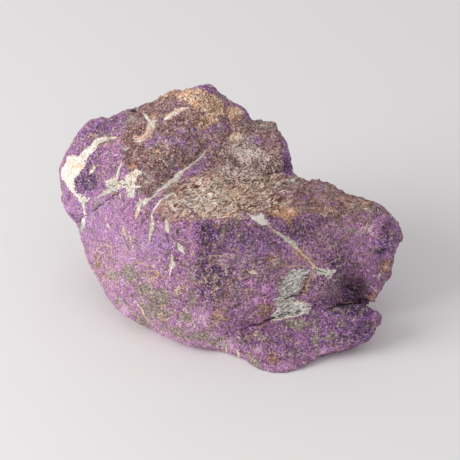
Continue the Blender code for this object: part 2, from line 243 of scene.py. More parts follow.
# Open cracks, in the same form. Two are dark lines of painted shade instead: the lip line, in the shaded
# crevice under the nose, and the nose-step line, under the nose's overhanging step.
CRACKS_AND_SHADE_LINES = {
    "foot": [
        (242, 329.8, 0.3), (249, 326.9, 0.4), (259.4, 324.4, 0.7), (267.4, 321.6, 0.8),
        (274.3, 318.2, 0.6), (288, 313.6, 0.45), (301, 310.6, 0.3),
    ],
    "ledge": [(75.6, 223.6, 0.4), (79, 221.6, 0.5), (82, 217.6, 0.3)],
    "cluster_left": [(108, 184, 0.2), (113, 186, 0.3), (117, 185, 0.2)],
    "cluster_middle": [(119, 183, 0.2), (123, 185.6, 0.3), (127, 184.6, 0.2)],
    "cluster_right": [(131.6, 178, 0.2), (131, 183, 0.3), (129.8, 188, 0.2)],
    "arm_hole": [(95, 148, 0.2), (99, 144, 0.3), (105, 141.6, 0.2)],
    "main_hole": [(140, 202, 0.2), (141.6, 205, 0.3), (139.4, 208, 0.2)],
    "vein_hole": [(316, 268.8, 0.3), (320, 270.8, 0.5), (325, 271.8, 0.3)],
    "left": [
        (125.4, 188.3, 0.25), (116.2, 193.4, 0.45), (109.1, 198.4, 0.5), (102, 203.5, 0.5),
        (95.8, 209, 0.6), (93.2, 211, 0.5),
    ],
    "face": [(200.6, 292.2, 0.6), (205, 289.6, 0.5), (210.6, 287.4, 0.25)],
    "top": [(130.8, 111.4, 0.6), (134, 109.4, 0.6), (138, 107, 0.4)],
    "brow": [(263.8, 176.2, 0.35), (271, 172.5, 0.5), (285, 171.8, 0.4)],
    "grey": [(284.6, 298.8, 0.35), (292, 297, 0.5), (300, 295, 0.4), (303, 293.4, 0.25)],
    "bead": [(246, 271.4, 0.3), (248.6, 273.8, 0.4)],
    "bead_low": [(244.6, 280.4, 0.3), (249, 279.4, 0.3)],
    "tail": [(135.4, 221, 0.35), (137.4, 218.8, 0.3)],
    "drop": [(167, 235, 0.15), (169, 245, 0.2), (170.8, 253, 0.2)],
    # Painted shade: a dark line where the crevice between the nose and the foot lies in shadow; the relief
    # cuts only a shallow groove here.
    "lip": [(326, 309, 0.3), (334, 306.6, 0.6), (343, 303.8, 0.8), (354, 302.4, 0.8), (364, 301.8, 0.6)],
    # Painted shade: a dark line under the nose's overhanging step.
    "nose_step": [(376, 254, 0.3), (381, 251.6, 0.6), (388, 250, 0.7), (392, 248.6, 0.5)],
}

# Soft spots on the display side: x, y, half-width and half-height in photograph pixels, the turn in
# degrees (clockwise in the picture), and the strength. Each group is a field: "light" is how light the
# violet is. It is partly the violet's own tone and partly painted shade and light: the face turned from the
# lamp, the hollows and the undersides are painted darker, and a few places where the stone's own shade falls
# too dark are painted lighter. "busy" is how much its grain stands out, and "bright" lightens whatever
# covers it. "net", "speck", "vein_grey" and "vein_warm" are lines, specks and colours of veins, and the
# others are minerals.
SPOTS = {
    "light": {
        "flank_top": (136, 214, 26, 14, 0, -0.06),
        "ridge_band": (188, 262, 26, 56, 0, -0.12),
        "foot_all": (312, 330, 70, 22, 0, -0.18),
        "left_low": (76, 200, 14, 20, 0, -0.1),
        "flank_low_left": (125, 309, 9, 7, 30, 0.15),
        "flank_pink": (131, 257, 12, 7, 10, 0.09),
        "lobe_left": (140, 156, 18, 8, 0, -0.1),
        "rim_high": (96, 134, 20, 12, -30, -0.08),
        "flank_centre": (147, 249, 9, 6, 0, 0.16),
        "flank_right": (200, 317, 8, 9, 0, 0.16),
        "flank_edge": (70, 208, 9, 12, 60, 0.12),
        "flank_foot": (180, 340, 26, 5, 15, 0.1),
        # Painted shade: the eye hollow and its core are painted darker, where shade falls in them.
        "hollow_eye": (87, 182, 11, 11, 0, -0.28),
        "hollow_eye_core": (89, 180, 6, 7, 0, -0.12),
        "eye_brow": (94, 163, 8, 9, 0, -0.18),
        "violet_rim": (108, 126, 16, 10, -35, -0.06),
        "rim_edge": (64, 152, 3, 14, 20, 0.2),
        # Painted shade in part: the face turns away from the lamp, and the dark face spots from here down to
        # face_right_mid paint it darker, along with its own darker violet.
        "face_top_left": (208, 232, 13, 15, 0, -0.08),
        "face_corner": (203, 219, 9, 5, 0, 0.12),
        "face_dark_core": (208, 231, 8, 10, 0, -0.16),
        "face_dark_low": (208, 281, 11, 8, 0, -0.2),
        "face_dark_mid": (216, 272, 6, 5, 0, -0.12),
        "face_right_dark": (299, 230, 15, 10, 0, -0.3),
        "face_corner_dark": (322, 221, 7, 5, 0, -0.12),
        "face_mid_light": (278, 290, 24, 22, 10, 0.08),
        "face_left_low": (212, 276, 18, 34, 0, -0.24),
        "face_upper": (245, 232, 30, 12, 0, -0.08),
        "face_right_mid": (335, 252, 16, 14, 0, -0.1),
        "nose_above": (360, 226, 26, 16, 0, 0.1),
        "face_violet": (297, 258, 8, 7, 30, 0.1),
        "face_low_violet": (224, 262, 6, 5, 0, 0.1),
        "bulge": (328, 290, 15, 12, 0, 0.07),
        # Painted shade: the shaded valley beside the bulge, the hollow under the nose, its floor and the
        # foot's lip below the crevice are painted darker. Painted light: the spot above the foot's lip, where
        # the stone's own shade falls too dark, is painted lighter.
        "bulge_shade": (339, 264, 9, 9, 0, -0.2),
        "hollow_deep": (353, 292, 9, 9, 20, -0.1),
        "hollow_floor": (349, 301, 14, 5, 0, -0.1),
        "under_lip": (336, 294, 9, 9, 0, 0.2),
        "lip_shade": (350, 309, 22, 6, 0, -0.62),
        "nose_light": (360, 250, 14, 14, 0, 0.06),
        "nose_pink": (369, 231, 10, 9, 0, 0.14),
        # Painted shade: a dark band under the nose's overhanging step.
        "nose_step": (381, 251, 7, 3, -10, -0.25),
        "nose_dark": (388, 236, 7, 11, 0, -0.2),
        "nose_end_dark": (386, 224, 5, 4, 0, -0.12),
        "foot_light": (300, 336, 20, 10, 0, 0.1),
        "foot_rim": (325, 351, 24, 3, -12, 0.25),
        "foot_rim_left": (285, 366, 12, 4, 0, 0.15),
        "foot_right_dark": (362, 331, 14, 8, -30, -0.12),
        "foot_pale": (259.5, 350, 5, 4, 0, 0.3),
        "right_rim": (287, 166, 5, 8, 0, -0.2),
        "crest": (207, 89, 8, 4, 0, -0.06),
        "lobe_violet": (176, 172, 9, 6, -30, -0.05),
        "shelf": (318, 195, 44, 12, 8, -0.03),
        "foot_patch": (256, 338, 12, 8, 0, -0.1),
        "face_left_edge": (194, 244, 6, 12, 0, 0.1),
        "foot_left": (222, 343, 14, 7, 10, 0.32),
    },
    "brown": {
        "mauve_band": (184, 214, 16, 7, -5, 0.5),
        "shelf_shadow": (165, 213, 9, 11, 0, 0.7),
        "left_of_second": (148, 214, 5, 9, 0, 0.25),
        "fork_violet": (148, 143, 6, 7, 40, -0.75),
        "cluster_violet": (177, 171, 9, 5, -35, -0.7),
        "crest_pit": (217.3, 108, 3.5, 3, 0, -0.8),
        "top_violet": (176, 101, 6, 4, 0, -0.6),
        "band_violet": (212, 129, 22, 8, -5, -0.6),
        "mid_violet": (172, 139, 24, 10, -10, -0.55),
        "shelf_mauve": (316, 195, 50, 12, 8, -0.25),
        "lobe_centre": (212, 147, 18, 10, 0, -0.3),
        "lobe_middle": (187, 149, 9, 9, 0, -0.5),
        "lobe_dark": (258, 142, 14, 7, 10, -0.8),
        "rim_tan": (96, 138, 12, 7, -30, 0.35),
        "nose_band": (350, 224, 20, 10, 10, 0.35),
        "foot_low": (262, 352, 22, 8, 10, 0.3),
        "foot_high": (266, 328, 12, 5, -20, 0.3),
        "flank_curve": (166, 228, 12, 9, 30, 0.3),
        "flank_edge": (186, 250, 7, 12, -20, 0.3),
        "streak_violet": (204, 161, 11, 5, -42, -0.7),
        "loop_violet": (132, 189, 4, 5, 0, -0.7),
        "loop_right": (143, 194, 8, 4, -20, -0.3),
        "rim_shadow": (84, 191, 4, 4, 0, 0.1),
        "flank_arc": (104, 250, 9, 5, -40, 0.3),
        "left_edge_brown": (100, 264, 5, 16, -28, 0.55),
        "left_rim": (78, 140, 18, 18, -40, 0.25),
        "flank_spots": (156, 276, 6, 5, 0, 0.35),
        "flank_rise": (125, 236, 4, 8, 0, 0.4),
        "flank_top": (140, 216, 8, 6, 0, 0.25),
        "flank_mid": (186, 268, 10, 20, 0, 0.25),
        "flank_low": (160, 305, 30, 16, 20, 0.25),
        "face_mid": (266, 263, 12, 6, 30, 0.3),
        "face_upper_edge": (240, 222, 28, 7, 0, 0.18),
        "face_left": (216, 247, 16, 9, 0, 0.1),
        "face_low_left": (216, 318, 8, 10, 10, 0.6),
        "face_low": (226, 300, 16, 8, 0, 0.25),
        "face_red": (265, 311, 9, 8, 0, 0.9),
        "grey_side": (306, 285, 5, 11, 15, 1.1),
        "top_edge": (290, 214, 50, 6, 0, 0.45),
        "orange_side": (288, 222, 10, 5, 0, 0.45),
        "corner": (333, 217, 10, 6, 0, 0.6),
        "nose_top": (362, 212, 26, 6, 0, 0.55),
        "nose_edge": (385, 268, 6, 7, 0, 0.8),
        "nose_toe": (372, 296, 4, 6, 0, 0.9),
        "hollow_side": (361, 288, 3, 9, 0, 0.5),
        "face_right": (348, 254, 5, 4, 0, 0.5),
        "foot_brown": (276, 359, 8, 7, 30, 0.35),
        "foot_tip": (377, 320, 3, 6, 0, 0.25),
        "foot_vertical": (314, 338, 5, 16, 0, 0.3),
        "wedge_side": (303, 324, 4, 4, 0, 0.7),
        "foot_left": (250, 337, 8, 5, 0, 0.35),
    },
    "olive": {
        "flank_a": (112, 275.5, 7.7, 3.9, 0, 1.1),
        "flank_b": (131, 275.5, 6.6, 6.6, 0, 1.15),
        "flank_c": (125, 269, 4.4, 3.3, 0, 0.7),
        "flank_d": (145, 290, 11, 7.7, 30, 1),
        "flank_e": (163, 297, 10, 6.6, 20, 0.95),
        "flank_f": (156, 311, 15, 8, 20, 0.95),
        "flank_g": (142, 320, 8.8, 5.5, 40, 1),
        "flank_h": (186, 317, 6.6, 5.5, 0, 0.95),
        "flank_i": (192, 277, 5.5, 6.6, 0, 0.85),
        "flank_j": (192, 298, 5.5, 7.7, 0, 0.85),
        "flank_k": (203, 337, 7.7, 3.3, 0, 0.8),
        "flank_l": (117, 302, 2.8, 3.9, 0, 1.25),
        "flank_m": (125.3, 302, 2.2, 4.4, -20, 1.1),
        "flank_n": (182, 334, 18, 6, 15, 0.9),
        "flank_o": (131, 239, 3, 5, 0, 0.5),
        "crack_side": (104, 194, 8, 3, -30, 0.4),
        "crack_shade": (97, 206, 6, 3, -40, 0.35),
        "rim_top": (110, 132, 8, 4, -30, 0.35),
        "fork_side": (131, 122, 7, 8, 0, 0.45),
        "lobe_speckle": (165, 156, 14, 12, 0, 0.42),
        "lobe_low": (146, 180, 8, 8, 0, 0.4),
        "lobe_top_right": (264, 124, 16, 5, 5, 0.65),
        "lobe_grey": (246, 143, 18, 8, -15, 0.4),
        "lobe_dark": (258, 172, 8, 5, 0, 0.3),
        "shelf_grey": (285, 183, 20, 5, -8, 0.6),
        "shelf_pale": (234, 194, 14, 6, -20, 0.35),
        "shelf_right": (310, 190, 14, 5, -8, 0.2),
        "shelf_left": (182, 200, 10, 4, -10, 0.5),
        "nose_top": (366, 208, 16, 5, 10, 0.5),
        "nose_net": (348, 230, 6, 4, 0, 0.5),
        "face_vertical": (225, 233, 3.5, 9, 0, 0.5),
        "face_violet": (278, 246, 20, 12, 0, -0.12),
        "face_top": (237, 222, 4, 7, 0, 0.4),
        "face_low": (240, 262, 5, 4, 0, 0.45),
        "face_bottom": (233, 290, 10, 5, 0, 0.4),
        "bulge_side": (341, 280, 7, 9, 20, 0.45),
        "foot_vertical": (315, 335, 5, 18, -5, 0.4),
        "foot_patch": (258, 336, 7, 4, 0, 0.6),
        "foot_edge": (255, 361, 5, 10, -35, 0.75),
        "foot_fibres": (216, 342, 12, 6, 15, 0.55),
        "foot_right": (345, 322, 8, 5, 0, 0.4),
        "foot_centre": (331, 336, 9, 6, 0, 0.3),
    },
    "rust": {
        "top_edge": (285, 213, 13, 6, 5, 1.2),
        "top_edge_left": (276, 208, 6, 4, 0, 0.7),
        "under_top_edge": (288, 222, 7, 4, 0, 0.45),
        "fork": (153.5, 117.6, 4, 2.5, 10, 0.9),
        "cluster": (132.6, 166, 4, 3, 0, 0.8),
        "face": (272, 257, 6, 6, 0, 0.6),
        "vein": (300, 252, 12, 6, 40, 0.75),
        "shelf_back": (245, 178, 36, 5, -5, 0.35),
        "shelf_right": (350, 202, 26, 6, 15, 0.3),
        "shelf_mid": (205, 192, 12, 6, -20, 0.35),
        "flank_mid": (180, 290, 7, 6, 0, 0.5),
        "shelf_edge": (330, 212, 16, 4, 5, 0.5),
        "face_red": (266, 310, 8, 8, 0, 0.1),
        "flank": (156, 275.6, 6, 5, 0, 0.6),
        "foot_left": (219, 316, 7, 8, 0, 0.55),
        "toe": (373, 297, 4, 7, 20, 0.7),
        "nose_edge": (386, 266, 5, 8, 20, 0.65),
        "brow": (214, 176, 8, 5, 0, 0.45),
        "triangle": (256, 212.4, 4, 2, 0, 0.5),
        "face_low": (227, 286, 5, 4, 0, 0.4),
        "lobe_orange": (236, 137, 9, 6, 0, 0.4),
        "blob": (80, 166, 10, 3, 20, 0.45),
        "foot_bottom": (276, 358, 6, 5, 30, 0.2),
    },
    "pink": {
        "face_a": (250, 282.6, 5, 3.5, 0, 1.3),
        "face_b": (265.6, 289, 6, 6, 0, 1.4),
        "face_c": (256, 299.6, 4.5, 3.5, 0, 1.3),
        "face_d": (261.6, 279.4, 4, 6, 0, 1),
        "face_e": (264, 300.4, 7, 4, 0, 0.9),
        "face_f": (265.8, 252, 6, 5, 0, 0.35),
        "foot_a": (252.4, 332.4, 5, 3, 0, 0.6),
        "foot_b": (355, 318.6, 3, 3, 0, 0.8),
        "foot_c": (349.5, 332.4, 3, 2, 0, 0.6),
        "foot_d": (331.6, 349, 6, 2, -10, 0.7),
        "foot_e": (277.6, 363.4, 4, 3, 0, 0.7),
        "foot_f": (352.4, 339.6, 3, 2, 0, 0.6),
        "foot_g": (357, 306, 3, 1.5, 0, 0.5),
        "nose_a": (363, 226, 6, 5, 0, 1.3),
        "nose_b": (370, 228, 4, 4, 0, 0.8),
        "nose_c": (373.4, 234.4, 8, 6, 0, 1.3),
        "nose_d": (381, 221.8, 4, 2.5, 0, 0.7),
        "nose_e": (350, 219, 7, 2, 10, 0.5),
        "shelf_front": (303, 215.4, 8, 2.5, 0, 0.6),
        "shelf_edge": (267, 211, 4, 3, 0, 0.6),
        "flank_low": (180, 291, 4, 5, 0, 0.4),
        "foot_corner": (230, 342, 3, 2.5, 0, 0.5),
        "lobe": (214, 146, 7, 5, 0, 0.4),
        "lobe_pale": (248, 153, 14, 7, 10, 0.55),
        "face_red": (265, 309, 9, 9, 0, 0.5),
        "face_mid": (273, 260, 6, 5, 0, 0.4),
    },
    "blue": {
        "left_rim": (85, 135, 24, 18, -30, 0.5),
        "left_low": (85, 215, 30, 22, 30, 0.5),
        "flank": (155, 244, 16, 14, 0, 0.6),
        "face_left": (211, 234, 12, 9, 0, 0.5),
        "face": (262, 246, 34, 18, 0, 0.4),
        "foot": (352, 318, 38, 34, -10, 0.5),
        "face_low": (255, 320, 38, 22, 0, -0.2),
        "face_middle": (285, 262, 30, 16, 0, -0.15),
        "nose": (384, 246, 16, 12, 0, 0.5),
        "nose_band": (362, 221, 28, 14, 5, -0.3),
        "top_edge": (250, 219, 40, 9, 0, -0.2),
        "shelf": (320, 190, 40, 12, 8, -0.2),
        "right_rim": (287, 150, 8, 26, 0, 0.7),
        "face_top": (300, 232, 12, 8, 0, 0.4),
        "eye": (90, 186, 14, 12, 0, 0.3),
        "lobe": (200, 140, 60, 30, 0, 0.45),
    },
    "crust": {
        "lobe_patch": (236.5, 137, 8, 6, -10, 1),
        "fork_foot": (139, 138, 9, 4, 0, 0.4),
        "fork_stem": (147, 134, 4, 6, 30, 0.5),
        "blob_arm": (108, 140, 14, 5, -15, 0.5),
        "brow": (214, 178, 14, 6, -20, 0.45),
        "shelf_front": (204, 208, 16, 7, -10, 0.45),
        "shelf_low": (225, 216, 20, 4, 0, 0.4),
        "crest_fringe": (210, 123, 10, 6, -30, 0.35),
        "lobe_low": (160, 152, 10, 8, 0, 0.4),
        "cluster_top": (133, 166, 5, 4, 0, 0.3),
        "crest": (206, 100, 18, 9, 0, 0.4),
        "shelf_mid": (232, 194, 16, 9, 0, 0.55),
        "shelf_top": (262, 184, 20, 7, 0, 0.3),
    },
    "dust": {
        "lobe_right": (248, 152, 34, 32, 0, 0.4),
        "lobe_pink": (247, 153, 14, 7, 10, 0.9),
        "lobe_dark": (260, 141, 11, 6, 10, -0.5),
        "brow": (232, 178, 34, 10, 0, 0.45),
        "shelf_left": (200, 206, 22, 12, -10, 0.4),
        "shelf_edge": (324, 214, 5, 2.5, 0, 0.9),
        "nose_end": (377, 209.6, 4, 2, 10, 0.7),
        "nose_pink": (367, 230, 9, 7, 40, 0.55),
        "nose_top": (350, 212, 24, 8, 8, 0.3),
        "flank_end": (178, 291, 5, 5, 0, 0.7),
        "flank_nest": (155, 277, 6, 5, 0, 0.3),
        "flank_rise": (124, 231, 2.5, 4, 0, 0.8),
        "lobe_edge": (270, 168, 14, 12, 0, 0.3),
        "foot_left": (222, 344, 16, 8, 20, 0.45),
        "face_mid": (275, 262, 14, 5, 0, 0.3),
        "flank_low": (185, 318, 30, 10, 20, 0.2),
    },
    "net": {
        "face": (250, 262, 60, 30, 0, 0.38),
        "flank_top": (132, 222, 34, 24, 0, -0.3),
        "face_dark": (212, 230, 16, 12, 0, -0.3),
        "low_edge": (175, 325, 50, 16, 25, 0.25),
        "left_edge": (108, 272, 16, 16, 40, 0.4),
        "flank_spine": (128, 240, 10, 14, 10, 0.35),
        "flank_nest": (150, 275, 12, 10, 0, 0.4),
        "flank_fringe": (178, 290, 12, 10, 0, 0.35),
        "face_low": (225, 300, 30, 30, 0, 0.35),
        "face_right": (325, 238, 26, 20, 0, 0.42),
        "nose": (378, 256, 18, 26, 0, -0.12),
        "nose_band": (352, 226, 22, 10, 10, 0.3),
        "foot": (320, 330, 60, 24, 0, -0.25),
        "lobe": (180, 140, 50, 30, 0, 0.4),
        "flank_left": (105, 250, 16, 14, 0, 0.4),
        "flank_low": (150, 300, 40, 30, 20, 0.25),
        "flank_mid": (145, 270, 16, 8, 0, 0.3),
        "lobe_right": (250, 150, 34, 30, 0, 0.4),
        "shelf": (340, 198, 30, 10, 0, 0.3),
        "bulge": (328, 288, 14, 12, 0, 0.35),
        "face_upper": (266, 244, 26, 10, 10, -0.25),
    },
    "vein_grey": {
        "cluster": (113, 186, 13, 9, 0, 0.75),
        "crack_side": (105, 193, 10, 6, 0, 1.2),
        "blob_arm": (104, 141, 13, 6, -20, 0.5),
        "cluster_foot": (131, 195, 5, 6, 0, 0.6),
        "stem_joint": (86, 203, 7, 6, 0, 0.5),
        "stem_low": (83, 230, 5, 9, 0, 0.9),
        "main_low": (142, 206, 8, 9, 0, 0.5),
        "main_high": (184, 170, 12, 4, -45, 0.4),
        "main_middle": (158, 191, 9, 6, -35, 0.9),
        "second": (152, 230, 6, 14, 0, 0.55),
        "second_top": (166, 197, 10, 4, -20, 0.5),
        "bean": (181, 249, 5, 5, 0, 0.35),
        "oval": (166, 226, 4, 5, 0, 0.35),
        "drop": (172, 265, 4, 12, 0, 0.3),
        "small_fork": (125, 148, 6, 4, 0, 0.3),
        "face_thick": (289, 241, 9, 6, 40, 0.5),
        "fork_top": (149, 122, 4, 6, 0, 0.3),
        "triangle": (257, 218, 12, 9, 20, -0.4),
        "bead": (252, 272, 6, 4, 0, -0.4),
        "blob": (72, 172, 14, 18, 0, -0.3),
    },
    "vein_warm": {
        "fork_low": (145, 134, 9, 9, -30, 1),
        "top_streak": (175, 113, 16, 6, -25, 0.6),
        "main_tail": (136, 215, 4, 7, 0, 1),
        "cluster_top": (136, 171, 9, 4, -30, 0.4),
        "blob_band": (80, 166, 12, 4, 12, 0.5),
        "face_orange": (305, 256, 11, 4, 42, 1.2),
        "face_start": (272, 228, 7, 3, 35, 0.9),
        "foot_left": (314, 266, 6, 5, 0, 0.8),
        "shelf": (175, 205, 10, 8, 0, 0.7),
        "star": (109, 227, 5, 5, 0, 1),
        "string": (131, 239, 3, 6, 0, 0.6),
        "lip": (285, 318, 18, 5, -15, 0.4),
        "beige": (143, 312, 8, 12, 0, 0.9),
        "bead": (252, 272, 6, 4, 0, 0.6),
        "blob": (72, 172, 14, 20, 0, 0.2),
        "cluster": (128, 184, 18, 14, 0, 0.25),
        "triangle": (254, 216, 8, 5, 20, 0.15),
    },
    "streak": {
        "middle": (302, 192, 42, 14, 0, -0.85),
        "right": (352, 200, 26, 9, 12, 0.3),
        "back": (262, 178, 34, 6, -3, 0.4),
        "front": (262, 209, 36, 4, 0, 0.3),
        "swirl": (174, 203, 9, 7, 0, 0.6),
    },
    "grey_streak": {
        "middle": (285, 182, 22, 5, -10, 0.3),
        "left": (192, 203, 10, 6, -10, 0.3),
        "orange": (215, 186, 22, 6, -20, -0.3),
        "front": (228, 210, 16, 6, 0, -0.1),
        "right": (310, 194, 14, 7, 0, -0.2),
    },
    "bright": {
        "shelf_left": (208, 202, 28, 16, -10, 0.27),
        "shelf_patch": (224, 192, 10, 6, -20, 0.12),
        "nose_top": (358, 210, 26, 6, 8, 0.1),
        "shelf_right": (318, 189, 34, 9, 8, 0.1),
        "shelf_end": (352, 203, 20, 6, 18, 0.14),
        "lobe_pink": (247, 153, 14, 7, 8, 0.42),
        "lobe_right": (252, 150, 32, 32, 0, 0.13),
        "crust_right": (236, 113, 10, 7, 20, 0.1),
        "lobe_orange": (236, 137, 8, 5, 0, 0.15),
        "lobe_dark": (262, 143, 10, 6, 20, -0.1),
        "blob": (71, 174, 14, 15, 0, 0.16),
        "crust": (204, 104, 26, 14, 15, 0.12),
        "mauve_band": (184, 214, 16, 7, -5, 0.16),
        "shelf_shadow": (165, 210, 9, 8, 0, 0.1),
        "top_edge": (285, 212, 11, 5, 5, 0.2),
        "edge_right": (316, 211, 16, 5, 0, 0.14),
        "toe": (372, 296, 5, 6, 0, 0.12),
        "face_red": (265, 309, 10, 9, 0, 0.16),
        "face_orange": (273, 260, 7, 5, 0, 0.1),
        "pink_high": (250, 282.6, 5, 3.5, 0, 0.3),
        "pink_right": (265.6, 289, 5, 5, 0, 0.3),
        "pink_low": (256, 299.6, 4.5, 3.5, 0, 0.3),
        "nose_pink": (369, 230, 9, 7, 20, 0.2),
        "foot_pink": (355, 318.6, 4, 4, 0, 0.25),
        "triangle": (257, 218, 11, 8, 20, 0.5),
        "bead": (252, 272, 5, 3, 0, 0.3),
        "lobe_low": (152, 174, 14, 8, -20, 0.1),
        "grey_low": (300, 308, 14, 7, -15, 0.14),
        "grey_top": (297, 274, 12, 8, 0, 0.06),
        "lobe_left": (150, 150, 34, 26, 0, -0.06),
        "brow": (222, 172, 20, 6, 0, 0.18),
    },
    "busy": {
        "face_low": (268, 284, 34, 18, 0, 0.25),
        "bulge": (334, 286, 16, 14, 0, 0.8),
        "hollow": (352, 291, 10, 10, 0, 0.3),
        "face_left": (198, 262, 20, 40, 0, -0.15),
        "foot": (318, 328, 64, 18, -5, -0.3),
        "left_rim": (66, 170, 10, 30, 0, -0.2),
        "flank": (128, 262, 62, 62, 0, 0.05),
    },
    "speck": {
        "lobe_pink": (247, 153, 16, 9, 0, 0.9),
        "lobe": (170, 150, 45, 35, -20, 0.45),
        "lobe_right": (250, 150, 34, 26, 0, 0.6),
        "face": (250, 250, 60, 40, 0, 0.3),
        "cluster": (155, 168, 14, 10, 0, 0.5),
        "brow": (225, 172, 26, 8, 0, 0.55),
        "shelf": (215, 190, 20, 10, 0, 0.6),
        "flank": (110, 228, 30, 20, 0, 0.15),
    },
}

# Places of clean violet: the same measures without a strength, and how much less each mineral is there.
CLEAN_PLACES = {
    "flank": ((118, 230, 46, 30, 20), {"brown": 0.15, "rust": 0.2, "crust": 0.1, "dust": 0.1}),
    "eye": ((88, 182, 12, 12, 0), {"brown": 0.25, "rust": 0.25, "crust": 0.15, "dust": 0.15}),
    "rim": ((92, 132, 26, 12, -35), {"crust": 0.1, "dust": 0.1}),
    "hollow": ((352, 290, 11, 11, 0), {"brown": 0.15}),
}

# Hollows and swells of the display side: x, y, half-width, half-height, turn, and height in millimetres.
SWELLS = {
    "eye": (87, 182, 10, 10, 0, -0.7),
    "eye_rim": (101, 176, 7, 13, 0, 0.3),
    "blob": (73, 170, 9, 14, 20, 0.25),
    "cluster": (131, 184, 9, 9, 0, 0.2),
    "crest_pit": (217.3, 108, 4, 3.4, 0, -0.5),
    "fork_pit": (163, 128, 6, 4, -20, -0.3),
    "hollow": (353, 291, 9, 10, 25, -1.1),
    "bulge": (327, 290, 12, 12, 0, 0.6),
    "nose_step": (386, 251, 9, 3.6, -12, -0.9),
    "toe_scar": (384, 272, 5, 12, 12, -0.35),
    "mouth": (364.5, 303, 10, 2.8, 18, -2.7),
    "foot_tip": (377, 318, 6, 8, 0, 0.5),
    "foot_shoulder": (379, 308.5, 4, 3.5, 30, -0.6),
    "crest_notch": (252, 119, 5, 5, 0, -0.6),
    "crest_end": (212, 86, 7, 5, 0, 0.6),
    "lobe_end": (276, 124, 7, 5, 0, 0.5),
    "rim_step": (292, 149, 4, 6, 0, -0.6),
    "left_top": (117, 123, 9, 5, -30, 0.5),
    "left_foot": (97, 284, 8, 22, -30, 0.7),
    "low_left": (212, 350, 14, 5, 15, -0.3),
    "grey": (291, 286, 14, 14, 0, -0.25),
    "face_left": (208, 238, 11, 16, 0, -0.3),
    "face_mid": (262, 262, 16, 14, 0, 0.3),
    "face_right": (300, 228, 14, 9, 0, -0.3),
    "ridge": (198, 240, 6, 26, -4, 0.3),
    "foot_left": (244, 347, 9, 8, 0, -0.3),
    "foot_top": (320, 322, 22, 7, 0, 0.3),
    "flank_groove": (137, 214, 3, 12, 0, -0.25),
    "lobe_dip": (200, 146, 16, 9, -30, -0.35),
    "lobe_swell": (165, 152, 16, 12, 0, 0.3),
    "rim_notch": (134, 109.6, 4, 3, -30, -0.35),
    "right_rim_notch": (286, 166, 4, 7, 0, -0.5),
    "shelf_bump": (312, 178.5, 6, 4, 0, -0.5),
}

# How many pixels each area's edge fades over, on both sides of its outline.
AREA_EDGES = {
    "flank": 8, "brown_lobe": 4, "shelf": 3, "streaked_shelf": 8, "olive_wedge": 1, "crust_top": 4,
    "crust_right": 3, "crust_fringe": 6, "crest_rim": 1.5, "right_rim": 1.5,
}
# The fields of sharp-edged outlines, and those of thin lines.
BODIES = {
    "cream": ("left_blob", "cluster", "face_triangle", "vein_foot"),
    "grey": ("grey_patch",),
}
LINES = {"vein": VEINS, "line": TAN_LINES, "crack": CRACKS_AND_SHADE_LINES}
# Drawn places wander by this many pixels, over swells of this size in millimetres.
WANDER = 0.7
WANDER_SIZE = 1.5
WANDER_SEEDS = (1, 6)
# Signed distances and shares are kept within these limits.
PIXELS_KEPT = 4
SHARES_KEPT = 8

# The display side's fields before its spots are added, and what some areas add to them.
FRONT_LEVELS = {"light": 0.52, "brown": 0.05, "olive": 0.12, "vein_grey": 0.1, "net": 0.12}
# Painted light in part: the flank, which faces the lamp, is made lighter than the face, besides its own paler
# violet.
FLANK_TONE_AND_PAINTED_LIGHT = 0.09
LOBE_BROWN = 0.9
WEDGE_OLIVE = 1.3
FRINGE_CRUST = 0.55
SHELF_GREY_STREAK = 0.06
# Pale seams and dark gaps run through dusty rock, and through crusted rock by this part as much.
CRUST_RUBBLE = 0.45

# Fields of the unseen sides: their level, and the height, size in millimetres and seed of their swell.
UNSEEN_SWELLS = {
    "light": (0.5, 0.16, 17, 11),
    "blue": (0.1, 0.4, 13, 38),
    "vein_grey": (0.5, 0.5, 9, 14),
    "vein_warm": (0.3, -0.5, 9, 14),
    "net": (0.4, 0.3, 12, 26),
    "speck": (0.3, 0.3, 10, 29),
}
# A second swell of the lightness: its height, size and seed.
UNSEEN_MOTTLE = (0.1, 9, 14)
# Minerals in patches: their swell's size and seed, what is added to it where the stone faces up, the sums
# between which a patch fades in, and how strong it gets.
UNSEEN_PATCHES = {
    "brown": (9, 14, 0.5, 0.2, 0.7, 0.8),
    "olive": (7, 17, 0, 0.35, 0.8, 0.8),
    "rust": (6, 20, 0, 0.6, 1, 0.8),
    "pink": (5, 23, 0, 0.7, 1.1, 0.8),
    "dust": (7, 47, 0.4, 0.5, 1.1, 0.6),
    "crust": (8, 32, 0.4, 0.75, 1.1, 1),
    "streak": (12, 35, 0, 0.3, 0.8, 0.5),
}
UNSEEN_GREY_STREAK = 0.2
# The upward parts of normals between which a face counts as more and more turned up.
UPWARD = (0.2, 0.8)

# Veins of the unseen sides are flat sheets through the stone: the way each faces, and how far along that
# way it is from the origin, in millimetres.
SHEETS = {
    "slanting": ((0.5, -0.2, 0.84), 16),
    "steep": ((0.93, 0.2, 0.3), -8),
    "crossing": ((-0.6, 0.1, 0.8), 34),
}
# The height and size of the swell that bends them.
SHEET_BEND = 2.4
SHEET_BENDS = 14
SHEET_BEND_SEED = 41
# Their half-thickness, and the part by which a swell of this size changes it.
SHEET_HALF = 0.32
SHEET_UNEVEN = 0.6
SHEET_UNEVEN_SIZE = 6
SHEET_UNEVEN_SEED = 43
# The size of their gaps, and the heights of the swell over which a gap opens.
SHEET_GAPS = 10
SHEET_GAP_SEED = 44
SHEET_GAP_EDGE = (0.1, 0.4)

